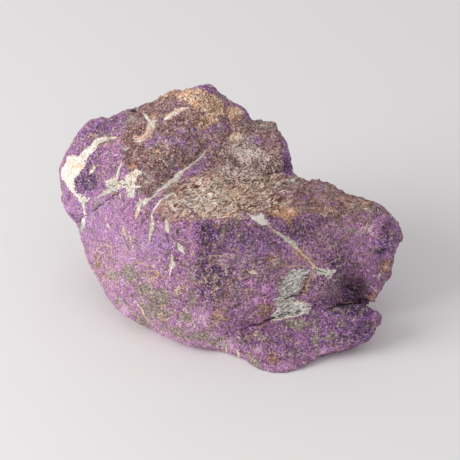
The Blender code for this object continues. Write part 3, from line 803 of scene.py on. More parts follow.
# The small relief's patterns: their size and height in millimetres, and their seed. All but the broad
# swell are only as high as the place is rough.
BROAD_SWELL = (6, 0.14, 54)
ROUGH_SWELLS = [(3, 0.05, 55), (1, 0.05, 60)]
FACETS = [(3.4, 0.1, 57), (1.7, 0.09, 58)]
CRESTS = [(1.9, 0.05, 59)]
# Where in its cell a facet's seed may be.
SEED_PLACES = (0.1, 0.9)
# Facets have bent edges, by this much, over swells of this size.
WARP = 0.5
WARP_SIZE = 2
WARP_SEEDS = (51, 52, 53)
# Beds of the shelf: their length, thickness and height in millimetres, and their seed.
BEDS = [(5, 0.9, 0.09, 61), (3, 0.55, 0.054, 62)]
# Porous crust: the size, height and seed of its lumps, and its level as a share of that height.
CRUST_LUMPS = (1.1, 0.16, 63)
CRUST_LEVEL = 0.6
# Cream veins stand up by this much, over these pixels from their outline, and cracks are this deep and
# fade out this many pixels past their edge.
CREAM_HEIGHT = 0.1
CREAM_EDGE = (-1, 1)
CRACK_DEPTH = 0.3
CRACK_FADE = 1.1
# How much smoother than rough rock cream veins, pale violet and streaked beds are. The light field turns
# a place from rough to pale between two values, and no place is smoother than the last share.
CREAM_SMOOTH = 0.6
CREAM_SMOOTH_EDGE = (-1, 1.5)
LIGHT_SMOOTH = 0.5
LIGHT_PLACES = (0.5, 0.62)
STREAK_SMOOTH = 0.4
LEAST_ROUGH = 0.35
# The relief fades in between these heights above the floor, so that the stone keeps its flat rest.
BASE_FADE = (0.1, 1.2)


def to_linear(code):
    """An sRGB hex colour as linear red, green, blue and alpha, with the display's curve undone."""
    channels = [int(code[k:k + 2], 16) / 255 for k in (1, 3, 5)]
    return (*[c / 12.92 if c <= 0.04045 else ((c + 0.055) / 1.055) ** 2.4 for c in channels], 1)


def step(values, start, end):
    """0 up to start, 1 from end on, and the cubic 3t^2 - 2t^3 of the way between."""
    part = np.clip((values - start) / (end - start), 0, 1)
    return part * part * (3 - 2 * part)


def swell(points, size, seed):
    """A smooth random height, -1 to 1: random values on a turned cubic grid of this size, blended within
    each cell by the cubic of the way across it."""
    table = np.random.default_rng(seed).uniform(-1, 1, (RANDOM_TABLE,) * 3)
    turned = points @ RANDOM_TURN / size
    cell = np.floor(turned).astype(int)
    blend = step(turned - cell, 0, 1)
    height = np.zeros(len(points))
    for corner in np.ndindex(2, 2, 2):
        weight = np.abs(1 - np.array(corner) - blend).prod(axis=1)
        x, y, z = ((cell + corner) % RANDOM_TABLE).T
        height += weight * table[x, y, z]
    return height


def rough_swell(points, size, seed, rounds=3):
    """Swells added up, each half the size and half the height of the one before it."""
    return sum(swell(points, size / 2 ** k, seed + k) / 2 ** k for k in range(rounds))


def ridges(points, size, seed):
    """Sharp crests, -1 to 1: one less twice the swell's distance from zero."""
    return 1 - 2 * np.abs(swell(points, size, seed))


def facets(points, size, seed):
    """The height of broken facets: the stone is split among random seeds, one in each cell of a grid of
    this size, and each point rises with its distance from its nearest seed along that seed's slope."""
    random = np.random.default_rng(seed)
    seeds = random.uniform(*SEED_PLACES, (RANDOM_TABLE,) * 3 + (3,))
    slopes = random.normal(0, 1, (RANDOM_TABLE,) * 3 + (3,))
    places = points @ RANDOM_TURN / size
    cell = np.floor(places).astype(int)
    nearest = np.full(len(points), np.inf)
    height = np.zeros(len(points))
    for neighbour in np.ndindex(3, 3, 3):
        here = cell + neighbour - 1
        x, y, z = (here % RANDOM_TABLE).T
        away = places - here - seeds[x, y, z]
        distance = np.linalg.norm(away, axis=1)
        closer = distance < nearest
        nearest[closer] = distance[closer]
        height[closer] = (away * slopes[x, y, z]).sum(axis=1)[closer]
    return height * size


def stretched(points, grain, length, width):
    """Points turned so that the grain's direction is the first axis, and shrunk along it, so that a swell
    of size 1 is that long along the grain and that wide across it."""
    turn = np.array(grain.to_track_quat("X", "Z").to_matrix())
    return points @ turn / (length, width, width) @ RANDOM_TURN.T


def to_pixels(points):
    """Where points in millimetres fall in the photograph: x to the right and y down, in pixels."""
    away = points * MM - EYE
    depth = -away @ BACK
    scale = DISTANCE / PIXEL / depth
    return np.stack([PHOTO / 2 + scale * (away @ RIGHT), PHOTO / 2 - scale * (away @ UP)], axis=1)


def spot_sum(places, spots):
    """The soft spots' strengths added up: each is its strength times e to the minus cube of the distance
    from its centre, counted in its half-widths."""
    total = np.zeros(len(places))
    for x, y, half_width, half_height, turn, strength in spots.values():
        right, down = (places - (x, y)).T
        c, s = math.cos(math.radians(turn)), math.sin(math.radians(turn))
        out = np.hypot((right * c + down * s) / half_width, (down * c - right * s) / half_height)
        total += strength * np.exp(-out ** 3)
    return total


def depth_inside(places, corners):
    """How many pixels each place is inside a closed outline, negative outside: the distance from the
    nearest side, with the sign from how often a line to the right crosses the sides."""
    nearest = np.full(len(places), np.inf)
    within = np.zeros(len(places), bool)
    for a, b in zip(corners, corners[1:] + corners[:1]):
        run = np.subtract(b, a)
        away = places - a
        along = np.clip(away @ run / (run @ run), 0, 1)
        nearest = np.minimum(nearest, np.hypot(*(away - along[:, None] * run).T))
        spans = (a[1] > places[:, 1]) != (b[1] > places[:, 1])
        if run[1]:
            within ^= spans & (away[:, 0] < run[0] * away[:, 1] / run[1])
    return np.where(within, nearest, -nearest)


def beside_lines(places, lines):
    """For thin lines, how far each place is from the nearest one. The first result is signed, positive on
    the line's right, and counted in the line's half-widths; the second is in pixels past its edge."""
    share = np.full(len(places), float(SHARES_KEPT))
    past = np.full(len(places), np.inf)
    for line in lines.values():
        for (ax, ay, a_half), (bx, by, b_half) in zip(line, line[1:]):
            run = np.array((bx - ax, by - ay))
            away = places - (ax, ay)
            along = np.clip(away @ run / (run @ run), 0, 1)
            distance = np.hypot(*(away - along[:, None] * run).T)
            half = a_half + along * (b_half - a_half)
            side = np.where(run[0] * away[:, 1] > run[1] * away[:, 0], 1, -1)
            closer = distance - half < past
            past[closer] = (distance - half)[closer]
            share[closer] = (side * distance / half)[closer]
    return np.clip(share, -SHARES_KEPT, SHARES_KEPT), np.minimum(past, PIXELS_KEPT)


def beside_sheets(points):
    """For the unseen sides' veins, the same two results. The distance from the nearest sheet's plane, plus
    the swell that bends it, is counted in the sheet's half-thickness; a gap is far past the edge."""
    bend = SHEET_BEND * rough_swell(points, SHEET_BENDS, SHEET_BEND_SEED)
    ways = np.array([Vector(way).normalized() for way, _ in SHEETS.values()])
    offsets = np.array([offset for _, offset in SHEETS.values()])
    away = points @ ways.T - offsets + bend[:, None]
    nearest = away[np.arange(len(points)), np.abs(away).argmin(axis=1)]
    half = SHEET_HALF * (1 + SHEET_UNEVEN * swell(points, SHEET_UNEVEN_SIZE, SHEET_UNEVEN_SEED))
    gaps = step(rough_swell(points, SHEET_GAPS, SHEET_GAP_SEED), *SHEET_GAP_EDGE)
    return np.clip(nearest / half, -SHARES_KEPT, SHARES_KEPT), PIXELS_KEPT * gaps


def make_skin(solid):
    """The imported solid's surface on an even fine grid, with its facets' edges softened."""
    shape = bmesh.new()
    shape.from_mesh(solid.data)
    bmesh.ops.remove_doubles(shape, verts=shape.verts, dist=SAME_POINT)
    mesh = bpy.data.meshes.new("stone_skin")
    shape.to_mesh(mesh)
    shape.free()
    skin = bpy.data.objects.new("stone_skin", mesh)
    bpy.context.scene.collection.objects.link(skin)
    remesh = skin.modifiers.new("even_grid", "REMESH")
    remesh.mode = "VOXEL"
    remesh.voxel_size = VOXEL
    soften = skin.modifiers.new("soften", "SMOOTH")
    soften.factor = SMOOTH_PART
    soften.iterations = SMOOTH_ROUNDS
    shown = skin.evaluated_get(bpy.context.evaluated_depsgraph_get())
    skin.data = bpy.data.meshes.new_from_object(shown)
    skin.data.name = "stone_skin"
    skin.modifiers.clear()
    return skin


def read_mesh(mesh):
    """The mesh's points in millimetres and its normals, as arrays of rows."""
    points = np.empty(len(mesh.vertices) * 3)
    normals = np.empty(len(mesh.vertices) * 3)
    mesh.vertices.foreach_get("co", points)
    mesh.vertices.foreach_get("normal", normals)
    return points.reshape(-1, 3) / MM, normals.reshape(-1, 3)


def front_fields(places):
    """The fields of the display side: their levels, the spots, less of the minerals where the violet is
    clean, and what the outlined areas add."""
    area = {
        name: step(depth_inside(places, OUTLINES[name]), -edge, edge)
        for name, edge in AREA_EDGES.items()
    }
    spots = {name: spot_sum(places, group) for name, group in SPOTS.items()}
    for spot, less in CLEAN_PLACES.values():
        clean = spot_sum(places, {"clean": (*spot, 1)})
        for name, part in less.items():
            spots[name] -= part * clean
    clear = 1 - np.maximum(area["crest_rim"], area["right_rim"])
    crust = np.maximum.reduce(
        [area["crust_top"], area["crust_right"], FRINGE_CRUST * area["crust_fringe"]]
    )
    front = {name: FRONT_LEVELS.get(name, 0) + spots[name] for name in SPOTS}
    front["light"] += FLANK_TONE_AND_PAINTED_LIGHT * area["flank"]
    front["brown"] += LOBE_BROWN * clear * np.maximum(area["brown_lobe"], area["shelf"])
    front["olive"] += WEDGE_OLIVE * area["olive_wedge"]
    front["crust"] += clear * crust
    front["streak"] = area["streaked_shelf"] + area["shelf"] * spots["streak"]
    front["grey_streak"] += SHELF_GREY_STREAK * area["shelf"]
    for name in ("dust", "net", "speck"):
        front[name] *= clear
    front["bedded"] = area["shelf"]
    return front


def unseen_fields(points, normals):
    """The fields of the other sides: each swells about its level, or comes in patches where a swell, with
    some more on what faces upward, is high."""
    upward = step(normals[:, 2], *UPWARD)
    unseen = {
        name: level + height * rough_swell(points, size, seed)
        for name, (level, height, size, seed) in UNSEEN_SWELLS.items()
    }
    height, size, seed = UNSEEN_MOTTLE
    unseen["light"] += height * rough_swell(points, size, seed)
    for name, (size, seed, on_top, start, end, most) in UNSEEN_PATCHES.items():
        unseen[name] = most * step(rough_swell(points, size, seed) + on_top * upward, start, end)
    unseen["streak"] *= upward
    unseen["grey_streak"] = UNSEEN_GREY_STREAK * upward
    return unseen


def surface_fields(points, normals):
    """Every field of the skin, one value for each point: the display side's and the unseen sides', with
    the share by which the camera sees the point between the two, and the lines and outlined bodies."""
    seen = step(normals @ BACK, *SEEN)
    wander = [rough_swell(points, WANDER_SIZE, seed, 2) for seed in WANDER_SEEDS]
    places = to_pixels(points) + WANDER * np.stack(wander, axis=1)
    front = front_fields(places)
    unseen = unseen_fields(points, normals)
    fields = {
        name: unseen.get(name, 0) + seen * (values - unseen.get(name, 0)) for name, values in front.items()
    }
    fields["rubble"] = np.maximum(fields["dust"], CRUST_RUBBLE * fields["crust"])

    hand_drawn = seen > 0.5
    for name, outlines in BODIES.items():
        inside = np.maximum.reduce([depth_inside(places, OUTLINES[outline]) for outline in outlines])
        fields[name] = np.clip(np.where(hand_drawn, inside, -PIXELS_KEPT), -PIXELS_KEPT, PIXELS_KEPT)
    elsewhere = {"vein": beside_sheets(points)}
    for name, lines in LINES.items():
        share, past = elsewhere.get(name, (SHARES_KEPT, PIXELS_KEPT))
        drawn_share, drawn_past = beside_lines(places, lines)
        fields[name] = np.where(hand_drawn, drawn_share, share)
        fields[name + "_past"] = np.where(hand_drawn, drawn_past, past)
    return fields


def relief(points, normals, fields):
    """How far each point stands out, in millimetres: broad and fine swells, broken facets and crests,
    the hollows of the display side, beds along the shelf, porous crust, low veins and open cracks."""
    seen = step(normals @ BACK, *SEEN)
    rough = 1 - CREAM_SMOOTH * step(fields["cream"], *CREAM_SMOOTH_EDGE)
    rough -= LIGHT_SMOOTH * step(fields["light"], *LIGHT_PLACES)
    rough = np.maximum(rough, LEAST_ROUGH) * (1 - STREAK_SMOOTH * fields["streak"])
    bends = [swell(points, WARP_SIZE, seed) for seed in WARP_SEEDS]
    warped = points + WARP * np.stack(bends, axis=1)

    size, tall, seed = BROAD_SWELL
    height = tall * swell(points, size, seed) + seen * spot_sum(to_pixels(points), SWELLS)
    patterns = ((swell, points, ROUGH_SWELLS), (facets, warped, FACETS), (ridges, points, CRESTS))
    for pattern, at, rows in patterns:
        for size, tall, seed in rows:
            height += rough * tall * pattern(at, size, seed)
    for length, width, tall, seed in BEDS:
        along = stretched(points, SHELF_GRAIN, length, width)
        height += tall * fields["streak"] * swell(along, 1, seed)
    size, tall, seed = CRUST_LUMPS
    lumps = CRUST_LEVEL + swell(points, size, seed)
    height += tall * np.clip(fields["crust"], 0, 1) * lumps
    height += CREAM_HEIGHT * step(fields["cream"], *CREAM_EDGE)
    height -= CRACK_DEPTH * np.exp(-(np.maximum(fields["crack_past"], 0) / CRACK_FADE) ** 2)
    return height


def lay_out(skin):
    """Gives the skin its relief, keeps its base on the surface it rests on, and stores its fields."""
    points, normals = read_mesh(skin.data)
    fields = surface_fields(points, normals)
    above = step(points[:, 2], *BASE_FADE)
    points = points + normals * (above * relief(points, normals, fields))[:, None]
    points[:, 2] = np.maximum(points[:, 2], 0)
    skin.data.vertices.foreach_set("co", (points * MM).ravel())
    skin.data.update()
    for name, values in fields.items():
        stored = skin.data.attributes.new(name, "FLOAT", "POINT")
        stored.data.foreach_set("value", values.astype(np.float32))
    skin.data.shade_smooth()


# The Mix node's colour sockets, by number.
MIX_BELOW, MIX_ABOVE, MIX_RESULT = 6, 7, 2

# Ramps of mineral colours, from the grain's dark end to its light end. The dark threads' ramp is
# painted shade.
BLUE_VIOLET = [(0, "#2b1c3b"), (0.25, "#663c78"), (0.5, "#9768a4"), (0.75, "#be93c2"), (1, "#e9cfe9")]
PINK_VIOLET = [(0, "#36213c"), (0.25, "#764675"), (0.5, "#ad77a1"), (0.75, "#cf9ebf"), (1, "#f3d4e1")]
PINK = [(0, "#4d2654"), (0.35, "#a2589c"), (0.65, "#e293d4"), (1, "#ffd0f6")]
BROWN = [(0, "#3c2529"), (0.3, "#6f4849"), (0.6, "#96706e"), (1, "#d6ac9f")]
OLIVE = [(0, "#5f5451"), (0.5, "#90837c"), (1, "#c8baae")]
RUST = [(0, "#84543b"), (0.5, "#cf9571"), (1, "#ffd6b2")]
DUST = [(0, "#311c20"), (0.3, "#7f565a"), (0.5, "#b38883"), (0.66, "#f6d5c9"), (1, "#fff9f4")]
STREAKS = [
    (0, "#331d1c"), (0.2, "#7d4e45"), (0.4, "#b9836b"), (0.6, "#e8b797"), (0.8, "#fee6cc"), (1, "#fffaf0"),
]
GREY_STREAKS = [(0, "#2b2422"), (0.25, "#6e655c"), (0.5, "#aaa091"), (0.75, "#e4dccd"), (1, "#fffdf4")]
CRUST = [(0, "#6b4230"), (0.25, "#b47b57"), (0.5, "#e6b18a"), (0.75, "#ffd9b4"), (1, "#fff0dc")]
# Painted shade: dark threads drawn as shadow between the grains in the violet's darkest places.
DARK_THREADS = [(0, "#26152f"), (1, "#4a2d52")]
CRUST_GAPS = [(0, "#452b27"), (1, "#7a5346")]
TAN_THREADS = [(0, "#7d6157"), (0.4, "#b8968a"), (1, "#f0d6c6")]
PALE_THREADS = [(0, "#c4a494"), (0.4, "#efd2bc"), (1, "#fff8ee")]
SPECK = [(0, "#b0968a"), (1, "#f8e8de")]
GREY = [(0, "#655f59"), (0.25, "#958f87"), (0.5, "#c8c1b7"), (0.75, "#f6f2ea"), (1, "#fffdf8")]
TAN = [(0, "#a68870"), (0.5, "#d4b398"), (1, "#f8e2cc")]
CREAM = [(0, "#6e6256"), (0.3, "#bcae9d"), (0.6, "#eee4d6"), (1, "#fffaf1")]
GREY_CREAM = [(0, "#615d55"), (0.4, "#a7a499"), (1, "#e8e4d8")]
WARM_CREAM = [(0, "#8f6148"), (0.4, "#d6a987"), (1, "#ffe6cc")]
# The dark colour of the cracks, also used for the lines of painted shade.
CRACK_AND_SHADE_COLOUR = "#33222a"

# The rock's patterns, by size in millimetres. The real grains go down to dust, and the smallest of these
# are as coarse as they need to be to show. The twist winds the grains into worms.
GRAIN_SIZE = 0.36
GRAIN_TWIST = 0.6
WINDING_SIZE = 0.85
COARSE_SIZE = 1.3
MOTTLE_SIZE = 2.4
LUMP_SIZE = 0.8
THREAD_GAPS = 2.2
# Those that run along the rock's layers and fibres: the way they run, their length and width, and how far
# they bend aside, over bends of BEND_SIZE.
FLANK_STREAKS = (FLANK_GRAIN, 4, 0.7, 0)
SHELF_BEDS = (SHELF_GRAIN, 2.5, 0.56, 2)
PATCH_FIBRES = (PATCH_GRAIN, 2, 0.45, 2)
BEND_SIZE = 2.222

# Patterns run from 0 to 1. Noise keeps near its middle, and this part of it is spread over 0 to 1.
MIDDLE = 0.5
NOISE_SPREAD = (0.3, 0.7)
NOISE_ROUGHNESS = 0.6
# A winding crest is noise at its middle, and it has fallen off at this difference from it.
CREST_TWIST = 0.6
CREST_FALL = 0.11
# Threads wind less, and fade in where what lets them show is above their random gaps by this much.
THREAD_TWIST = 0.4
THREAD_FADE = 0.25

# The net of tan lines: its cells, how far and over what size they are bent, in millimetres, where its
# gaps fade in, and where its lines fade out, as a share of a cell.
NET_CELL = 2.222
NET_BEND = 2
NET_BEND_SIZE = 1.667
NET_GAPS = (-0.1, 0.3)
NET_LINE = (0.03, 0.1)
# Specks: a cell for each, in millimetres, and where a speck's edge is, as a share of the cell.
SPECK_CELL = 1.053
SPECK_EDGE = (0.2, 0.34)

# Shades are sums of patterns and fields: a level, and how much each part counts. "fine" is the grain
# without its coarse blotches, and "lit" is the grain as the bright field lifts it. "contrast" times
# "unevenness" is how much the grain stands out in the violet, "toned" is the violet's lightness with it, and
# "gloom" is where dark threads show. "flecks" and "height" move edges and the surface, and each of the others
# picks colours from ramps.
SHADES = {
    "fine": (0.01, {"grains": 0.6, "winding": 0.47}),
    "grain": (-0.06, {"fine": 1, "coarse": 0.12}),
    "lit": (0, {"grain": 1, "bright": 1}),
    "contrast": (1.37, {"light": -1.4, "busy": 1}),
    "unevenness": (0.6, {"mottle": 0.8}),
    "tone": (-0.18, {"toned": 1, "slanted": 0.16, "mottle": 0.2}),
    "blueness": (0, {"blue": 1, "mottle": 0.4}),
    "gloom": (1.37, {"light": -1.6, "busy": 1}),
    "faint_beds": (0.17, {"beds": 0.9}),
    "lumpy": (-0.4, {"lit": 1.5, "lumps": 0.3}),
    "curdled": (0.14, {"lumpy": 0.75}),
    "streaky": (-0.37, {"beds": 1.3, "fine": 0.45, "bright": 1}),
    "fibrous": (-0.18, {"fibres": 0.9, "fine": 0.45, "bright": 1}),
    "filling": (0.3, {"fine": 0.85, "bright": 1}),
    "flecks": (0, {"fine": 1, "coarse": 1}),
    "height": (0, {"lit": 0.4, "pale": 1}),
}
# How much of the shelf's brown shows its beds instead of its grain.
BEDDING_SHOWS = 0.75

# Minerals that lie in patches: the coordinates they follow, the shade that picks their colours, the size
# of their patches in millimetres, how softly the edges fade, and the colours. Laid coordinates follow the
# shelf's beds, and sizes in them are in beds.
STAINS = {
    "pink": ("place", "lit", 0.7, 0.3, PINK),
    "brown": ("place", "bedding", 1.9, 0.25, BROWN),
    "olive": ("place", "lit", 2.2, 0.35, OLIVE),
    "rust": ("place", "lit", 1.1, 0.3, RUST),
    "dust": ("place", "lumpy", 0.7, 0.15, DUST),
    "streak": ("place", "streaky", 1.5, 0.25, STREAKS),
    "grey_streak": ("laid", "streaky", 1.2, 0.15, GREY_STREAKS),
    "crust": ("place", "curdled", 1.2, 0.2, CRUST),
    "vein_grey": ("place", "filling", 0.8, 0.3, GREY_CREAM),
    "vein_warm": ("place", "filling", 1, 0.4, WARM_CREAM),
}

# Thin threads: the coordinates they follow, how far they are moved so that no two kinds lie on each
# other, what lets them show, the size they wind over in millimetres, their half-width as a difference in
# the noise, and their colours.
THREADS = {
    "shadow": ("place", (0, 0, 0), "gloom", 0.9, 0.025, DARK_THREADS),
    "bed_seam": ("laid", (5, 9, 3), "streak", 1.2, 0.04, PALE_THREADS),
    "bed_gap": ("laid", (0, 0, 0), "streak", 1.2, 0.03, CRUST_GAPS),
    "crust_seam": ("place", (7, 43, 19), "rubble", 0.95, 0.05, PALE_THREADS),
    "crust_gap": ("place", (0, 0, 0), "rubble", 0.8, 0.035, CRUST_GAPS),
    "tan": ("place", (31, 17, 5), "net", 1.2, 0.024, TAN_THREADS),
}

# How far the flecks, a sum of two patterns, move an edge: a body's in pixels, a line's in its half-widths.
FLECKS_MOST = 2
WOBBLES = {"body": (-1.9, 1.9), "line": (-1.1, 1.7), "vein": (-1.1, 1.2)}
# A body fades in over these pixels from its outline, and a line fades out over these shares of its
# half-width.
BODY_EDGE = (0, 0.8)
STROKE_EDGE = (0.75, 1.25)
# A line's colour ends this many pixels past its edge, where the grain would carry it too far.
STROKE_REACH = (1, 2)
# Veins have a brown rim, wider than they are by this share of the half-width.
VEIN_RIM = 0.45

# Weathered rock is matt, and its dusty face has a lower IOR than the clean mineral, which has about 1.85.
# The grain stands up this far where it is palest.
ROCK_ROUGHNESS = 0.82
ROCK_IOR = 1.6
GRAIN_HEIGHT = 0.2 * MM
GRAIN_STRENGTH = 0.8


def add(tree, kind, inputs=(), out=0, stops=(), **settings):
    """Adds a shader node and gives one of its outputs. Each input is a value or another node's output,
    and the stops are a ramp's colours."""
    node = tree.nodes.new("ShaderNode" + kind)
    for name, value in settings.items():
        setattr(node, name, value)
    for name, value in dict(inputs).items():
        if isinstance(value, bpy.types.NodeSocket):
            tree.links.new(value, node.inputs[name])
        else:
            node.inputs[name].default_value = value
    for k, (position, colour) in enumerate(stops):
        if k >= 2:
            node.color_ramp.elements.new(1)
        node.color_ramp.elements[k].position = position
        node.color_ramp.elements[k].color = to_linear(colour)
    return node.outputs[out]


def blotches(node, place, size, detail=2, twist=0):
    """Random blotches of this size in millimetres: noise with its middle spread over 0 to 1."""
    noise = node(
        "TexNoise",
        {
            "Vector": place, "Scale": 1 / size, "Detail": detail, "Roughness": NOISE_ROUGHNESS,
            "Distortion": twist,
        },
    )
    low, high = NOISE_SPREAD
    return node("MapRange", {"Value": noise, "From Min": low, "From Max": high})


def winding_crests(node, place, size):
    """Thin bright crests that wind between the grains: 1 where noise of this size in millimetres is at its
    middle, and falling off to 0 on both sides."""
    noise = node("TexNoise", {"Vector": place, "Scale": 1 / size, "Detail": 0, "Distortion": CREST_TWIST})
    off = node("Math", {0: noise, 1: MIDDLE}, operation="SUBTRACT")
    away = node("Math", {0: off}, operation="ABSOLUTE")
    return node("MapRange", {"Value": away, "From Max": CREST_FALL, "To Min": 1, "To Max": 0})


def laid_along(node, place, way, length, width, bend):
    """Coordinates in which a pattern of size 1 runs this way, this long and this wide, and bends aside by
    as much as this, in millimetres."""
    noise = node("TexNoise", {"Vector": place, "Scale": 1 / BEND_SIZE, "Detail": 1}, out="Color")
    bent = node("VectorMath", {0: noise, 1: (bend, bend, bend), 2: place}, operation="MULTIPLY_ADD")
    turn = way.to_track_quat("X", "Z").to_euler()
    return node(
        "Mapping", {"Vector": bent, "Rotation": turn, "Scale": (length, width, width)},
        vector_type="TEXTURE",
    )


def mix_shades(node, rock, *names):
    """Works out shades by the table and adds them to the rock's patterns: each is its level, plus every
    part times how much it counts."""
    for name in names:
        total, parts = SHADES[name]
        for part, counts in parts.items():
            total = node("Math", {0: rock[part], 1: counts, 2: total}, operation="MULTIPLY_ADD")
        rock[name] = total


def rock_patterns(node):
    """The fields, coordinates in millimetres, patterns and shades that the layers share, by name."""
    rock = {
        name: node("Attribute", attribute_name=name, out="Fac")
        for name in ("light", "bright", "busy", "blue", "bedded", "streak", "rubble", "net", "speck")
    }
    position = node("TexCoord", out="Object")
    place = node("VectorMath", {0: position, "Scale": 1 / MM}, operation="SCALE")
    laid = laid_along(node, place, *SHELF_BEDS)
    rock |= {
        "place": place,
        "laid": laid,
        "grains": blotches(node, place, GRAIN_SIZE, detail=0, twist=GRAIN_TWIST),
        "winding": winding_crests(node, place, WINDING_SIZE),
        "coarse": blotches(node, place, COARSE_SIZE),
        "mottle": blotches(node, place, MOTTLE_SIZE),
        "lumps": blotches(node, place, LUMP_SIZE),
        "beds": blotches(node, laid, 1, detail=1),
        "slanted": blotches(node, laid_along(node, place, *FLANK_STREAKS), 1),
        "fibres": blotches(node, laid_along(node, place, *PATCH_FIBRES), 1),
    }
    mix_shades(
        node, rock, "fine", "grain", "lit", "lumpy", "curdled", "streaky", "fibrous", "filling", "flecks"
    )
    return rock


def paint(node, below, mask, stops, shade):
    """Lays the colours of a ramp over what is below them, where the mask is 1."""
    colour = node("ValToRGB", {"Fac": shade}, stops=stops)
    return node("Mix", {0: mask, MIX_BELOW: below, MIX_ABOVE: colour}, out=MIX_RESULT, data_type="RGBA")


def stain(node, rock, below, name):
    """Lays a mineral over what is below it. Its field is the part of the surface that it covers: it shows
    where blotches are lower than the field."""
    follows, shade, size, edge, stops = STAINS[name]
    cover = node("Attribute", attribute_name=name, out="Fac")
    room = node("Math", {0: cover, 1: blotches(node, rock[follows], size)}, operation="SUBTRACT")
    mask = node("MapRange", {"Value": room, "From Min": -edge, "From Max": edge})
    return paint(node, below, mask, stops, rock[shade])


def threads(node, rock, below, name):
    """Lays thin winding threads: where noise is close to its middle, in the patches in which their cover
    lets them show."""
    follows, moved, cover, size, width, stops = THREADS[name]
    place = node("VectorMath", {0: rock[follows], 1: moved}, operation="ADD")
    noise = node("TexNoise", {"Vector": place, "Scale": 1 / size, "Detail": 1, "Distortion": THREAD_TWIST})
    close = node("Math", {0: noise, 1: MIDDLE, 2: width}, operation="COMPARE")
    room = node("Math", {0: rock[cover], 1: blotches(node, place, THREAD_GAPS)}, operation="SUBTRACT")
    shown = node("MapRange", {"Value": room, "From Min": 0, "From Max": THREAD_FADE})
    mask = node("Math", {0: close, 1: shown}, operation="MULTIPLY")
    return paint(node, below, mask, stops, rock["fine"])


def body(node, below, name, wobble, above):
    """Lays one colour over another inside the outlines of this name, whose edges the wobble moves."""
    depth = node("Attribute", attribute_name=name, out="Fac")
    ragged = node("Math", {0: depth, 1: wobble}, operation="ADD")
    start, end = BODY_EDGE
    mask = node("MapRange", {"Value": ragged, "From Min": start, "From Max": end})
    return node("Mix", {0: mask, MIX_BELOW: below, MIX_ABOVE: above}, out=MIX_RESULT, data_type="RGBA")


def stroke(node, below, name, wobble, above):
    """Draws the thin lines of this name: where the share of the half-width is within 1, give or take the
    wobble, and the line's edge isn't far."""
    share = node("Attribute", attribute_name=name, out="Fac")
    past = node("Attribute", attribute_name=name + "_past", out="Fac")
    out = node("Math", {0: share}, operation="ABSOLUTE")
    ragged = node("Math", {0: out, 1: wobble}, operation="ADD")
    inside = [
        node("MapRange", {"Value": value, "From Min": start, "From Max": end, "To Min": 1, "To Max": 0})
        for value, (start, end) in ((ragged, STROKE_EDGE), (past, STROKE_REACH))
    ]
    mask = node("Math", {0: inside[0], 1: inside[1]}, operation="MULTIPLY")
    return node("Mix", {0: mask, MIX_BELOW: below, MIX_ABOVE: above}, out=MIX_RESULT, data_type="RGBA")


def violet(node, rock):
    """The violet itself. Its lightness is the field's, which is partly the violet's own tone and partly
    painted shade and light. Streaks run along the rock's layers, a grain stands out more where the rock is
    dark or busy, and the hue goes from pinkish to bluish. Dark threads of painted shade wind through its
    shaded places."""
    mix_shades(node, rock, "contrast", "unevenness", "blueness", "gloom")
    even = node("Math", {0: rock["grain"], 1: MIDDLE}, operation="SUBTRACT")
    sparkle = node("Math", {0: rock["contrast"], 1: rock["unevenness"]}, operation="MULTIPLY")
    rock["toned"] = node("Math", {0: even, 1: sparkle, 2: rock["light"]}, operation="MULTIPLY_ADD")
    mix_shades(node, rock, "tone")
    pinkish = node("ValToRGB", {"Fac": rock["tone"]}, stops=PINK_VIOLET)
    colour = paint(node, pinkish, rock["blueness"], BLUE_VIOLET, rock["tone"])
    return threads(node, rock, colour, "shadow")


def minerals(node, rock, colour):
    """Stains, the streaked beds and the tan crust, each with the grain's light and dark in its own
    colours, and the pale seams and dark gaps that run through them."""
    mix_shades(node, rock, "faint_beds")
    instead = node("Math", {0: rock["faint_beds"], 1: rock["lit"]}, operation="SUBTRACT")
    most = node("Math", {0: rock["bedded"], 1: BEDDING_SHOWS}, operation="MULTIPLY")
    rock["bedding"] = node("Math", {0: instead, 1: most, 2: rock["lit"]}, operation="MULTIPLY_ADD")
    for name in ("pink", "brown", "olive", "rust", "dust", "streak", "grey_streak"):
        colour = stain(node, rock, colour, name)
    for name in ("bed_seam", "bed_gap"):
        colour = threads(node, rock, colour, name)
    colour = stain(node, rock, colour, "crust")
    for name in ("crust_seam", "crust_gap", "tan"):
        colour = threads(node, rock, colour, name)
    return colour


def tan_net(node, rock, below):
    """A net of longer tan lines with gaps: the edges of cells whose places are bent by noise."""
    place = rock["place"]
    noise = node("TexNoise", {"Vector": place, "Scale": 1 / NET_BEND_SIZE, "Detail": 2}, out="Color")
    bent = node("VectorMath", {0: noise, 1: (NET_BEND,) * 3, 2: place}, operation="MULTIPLY_ADD")
    edge = node("TexVoronoi", {"Vector": bent, "Scale": 1 / NET_CELL}, feature="DISTANCE_TO_EDGE")
    room = node("Math", {0: rock["net"], 1: rock["mottle"]}, operation="SUBTRACT")
    closed, whole = NET_GAPS
    drawn = node("MapRange", {"Value": room, "From Min": closed, "From Max": whole})
    core, faded = NET_LINE
    thin = node("MapRange", {"Value": edge, "From Min": core, "From Max": faded, "To Min": 1, "To Max": 0})
    mask = node("Math", {0: drawn, 1: thin}, operation="MULTIPLY")
    return paint(node, below, mask, TAN_THREADS, rock["lit"])


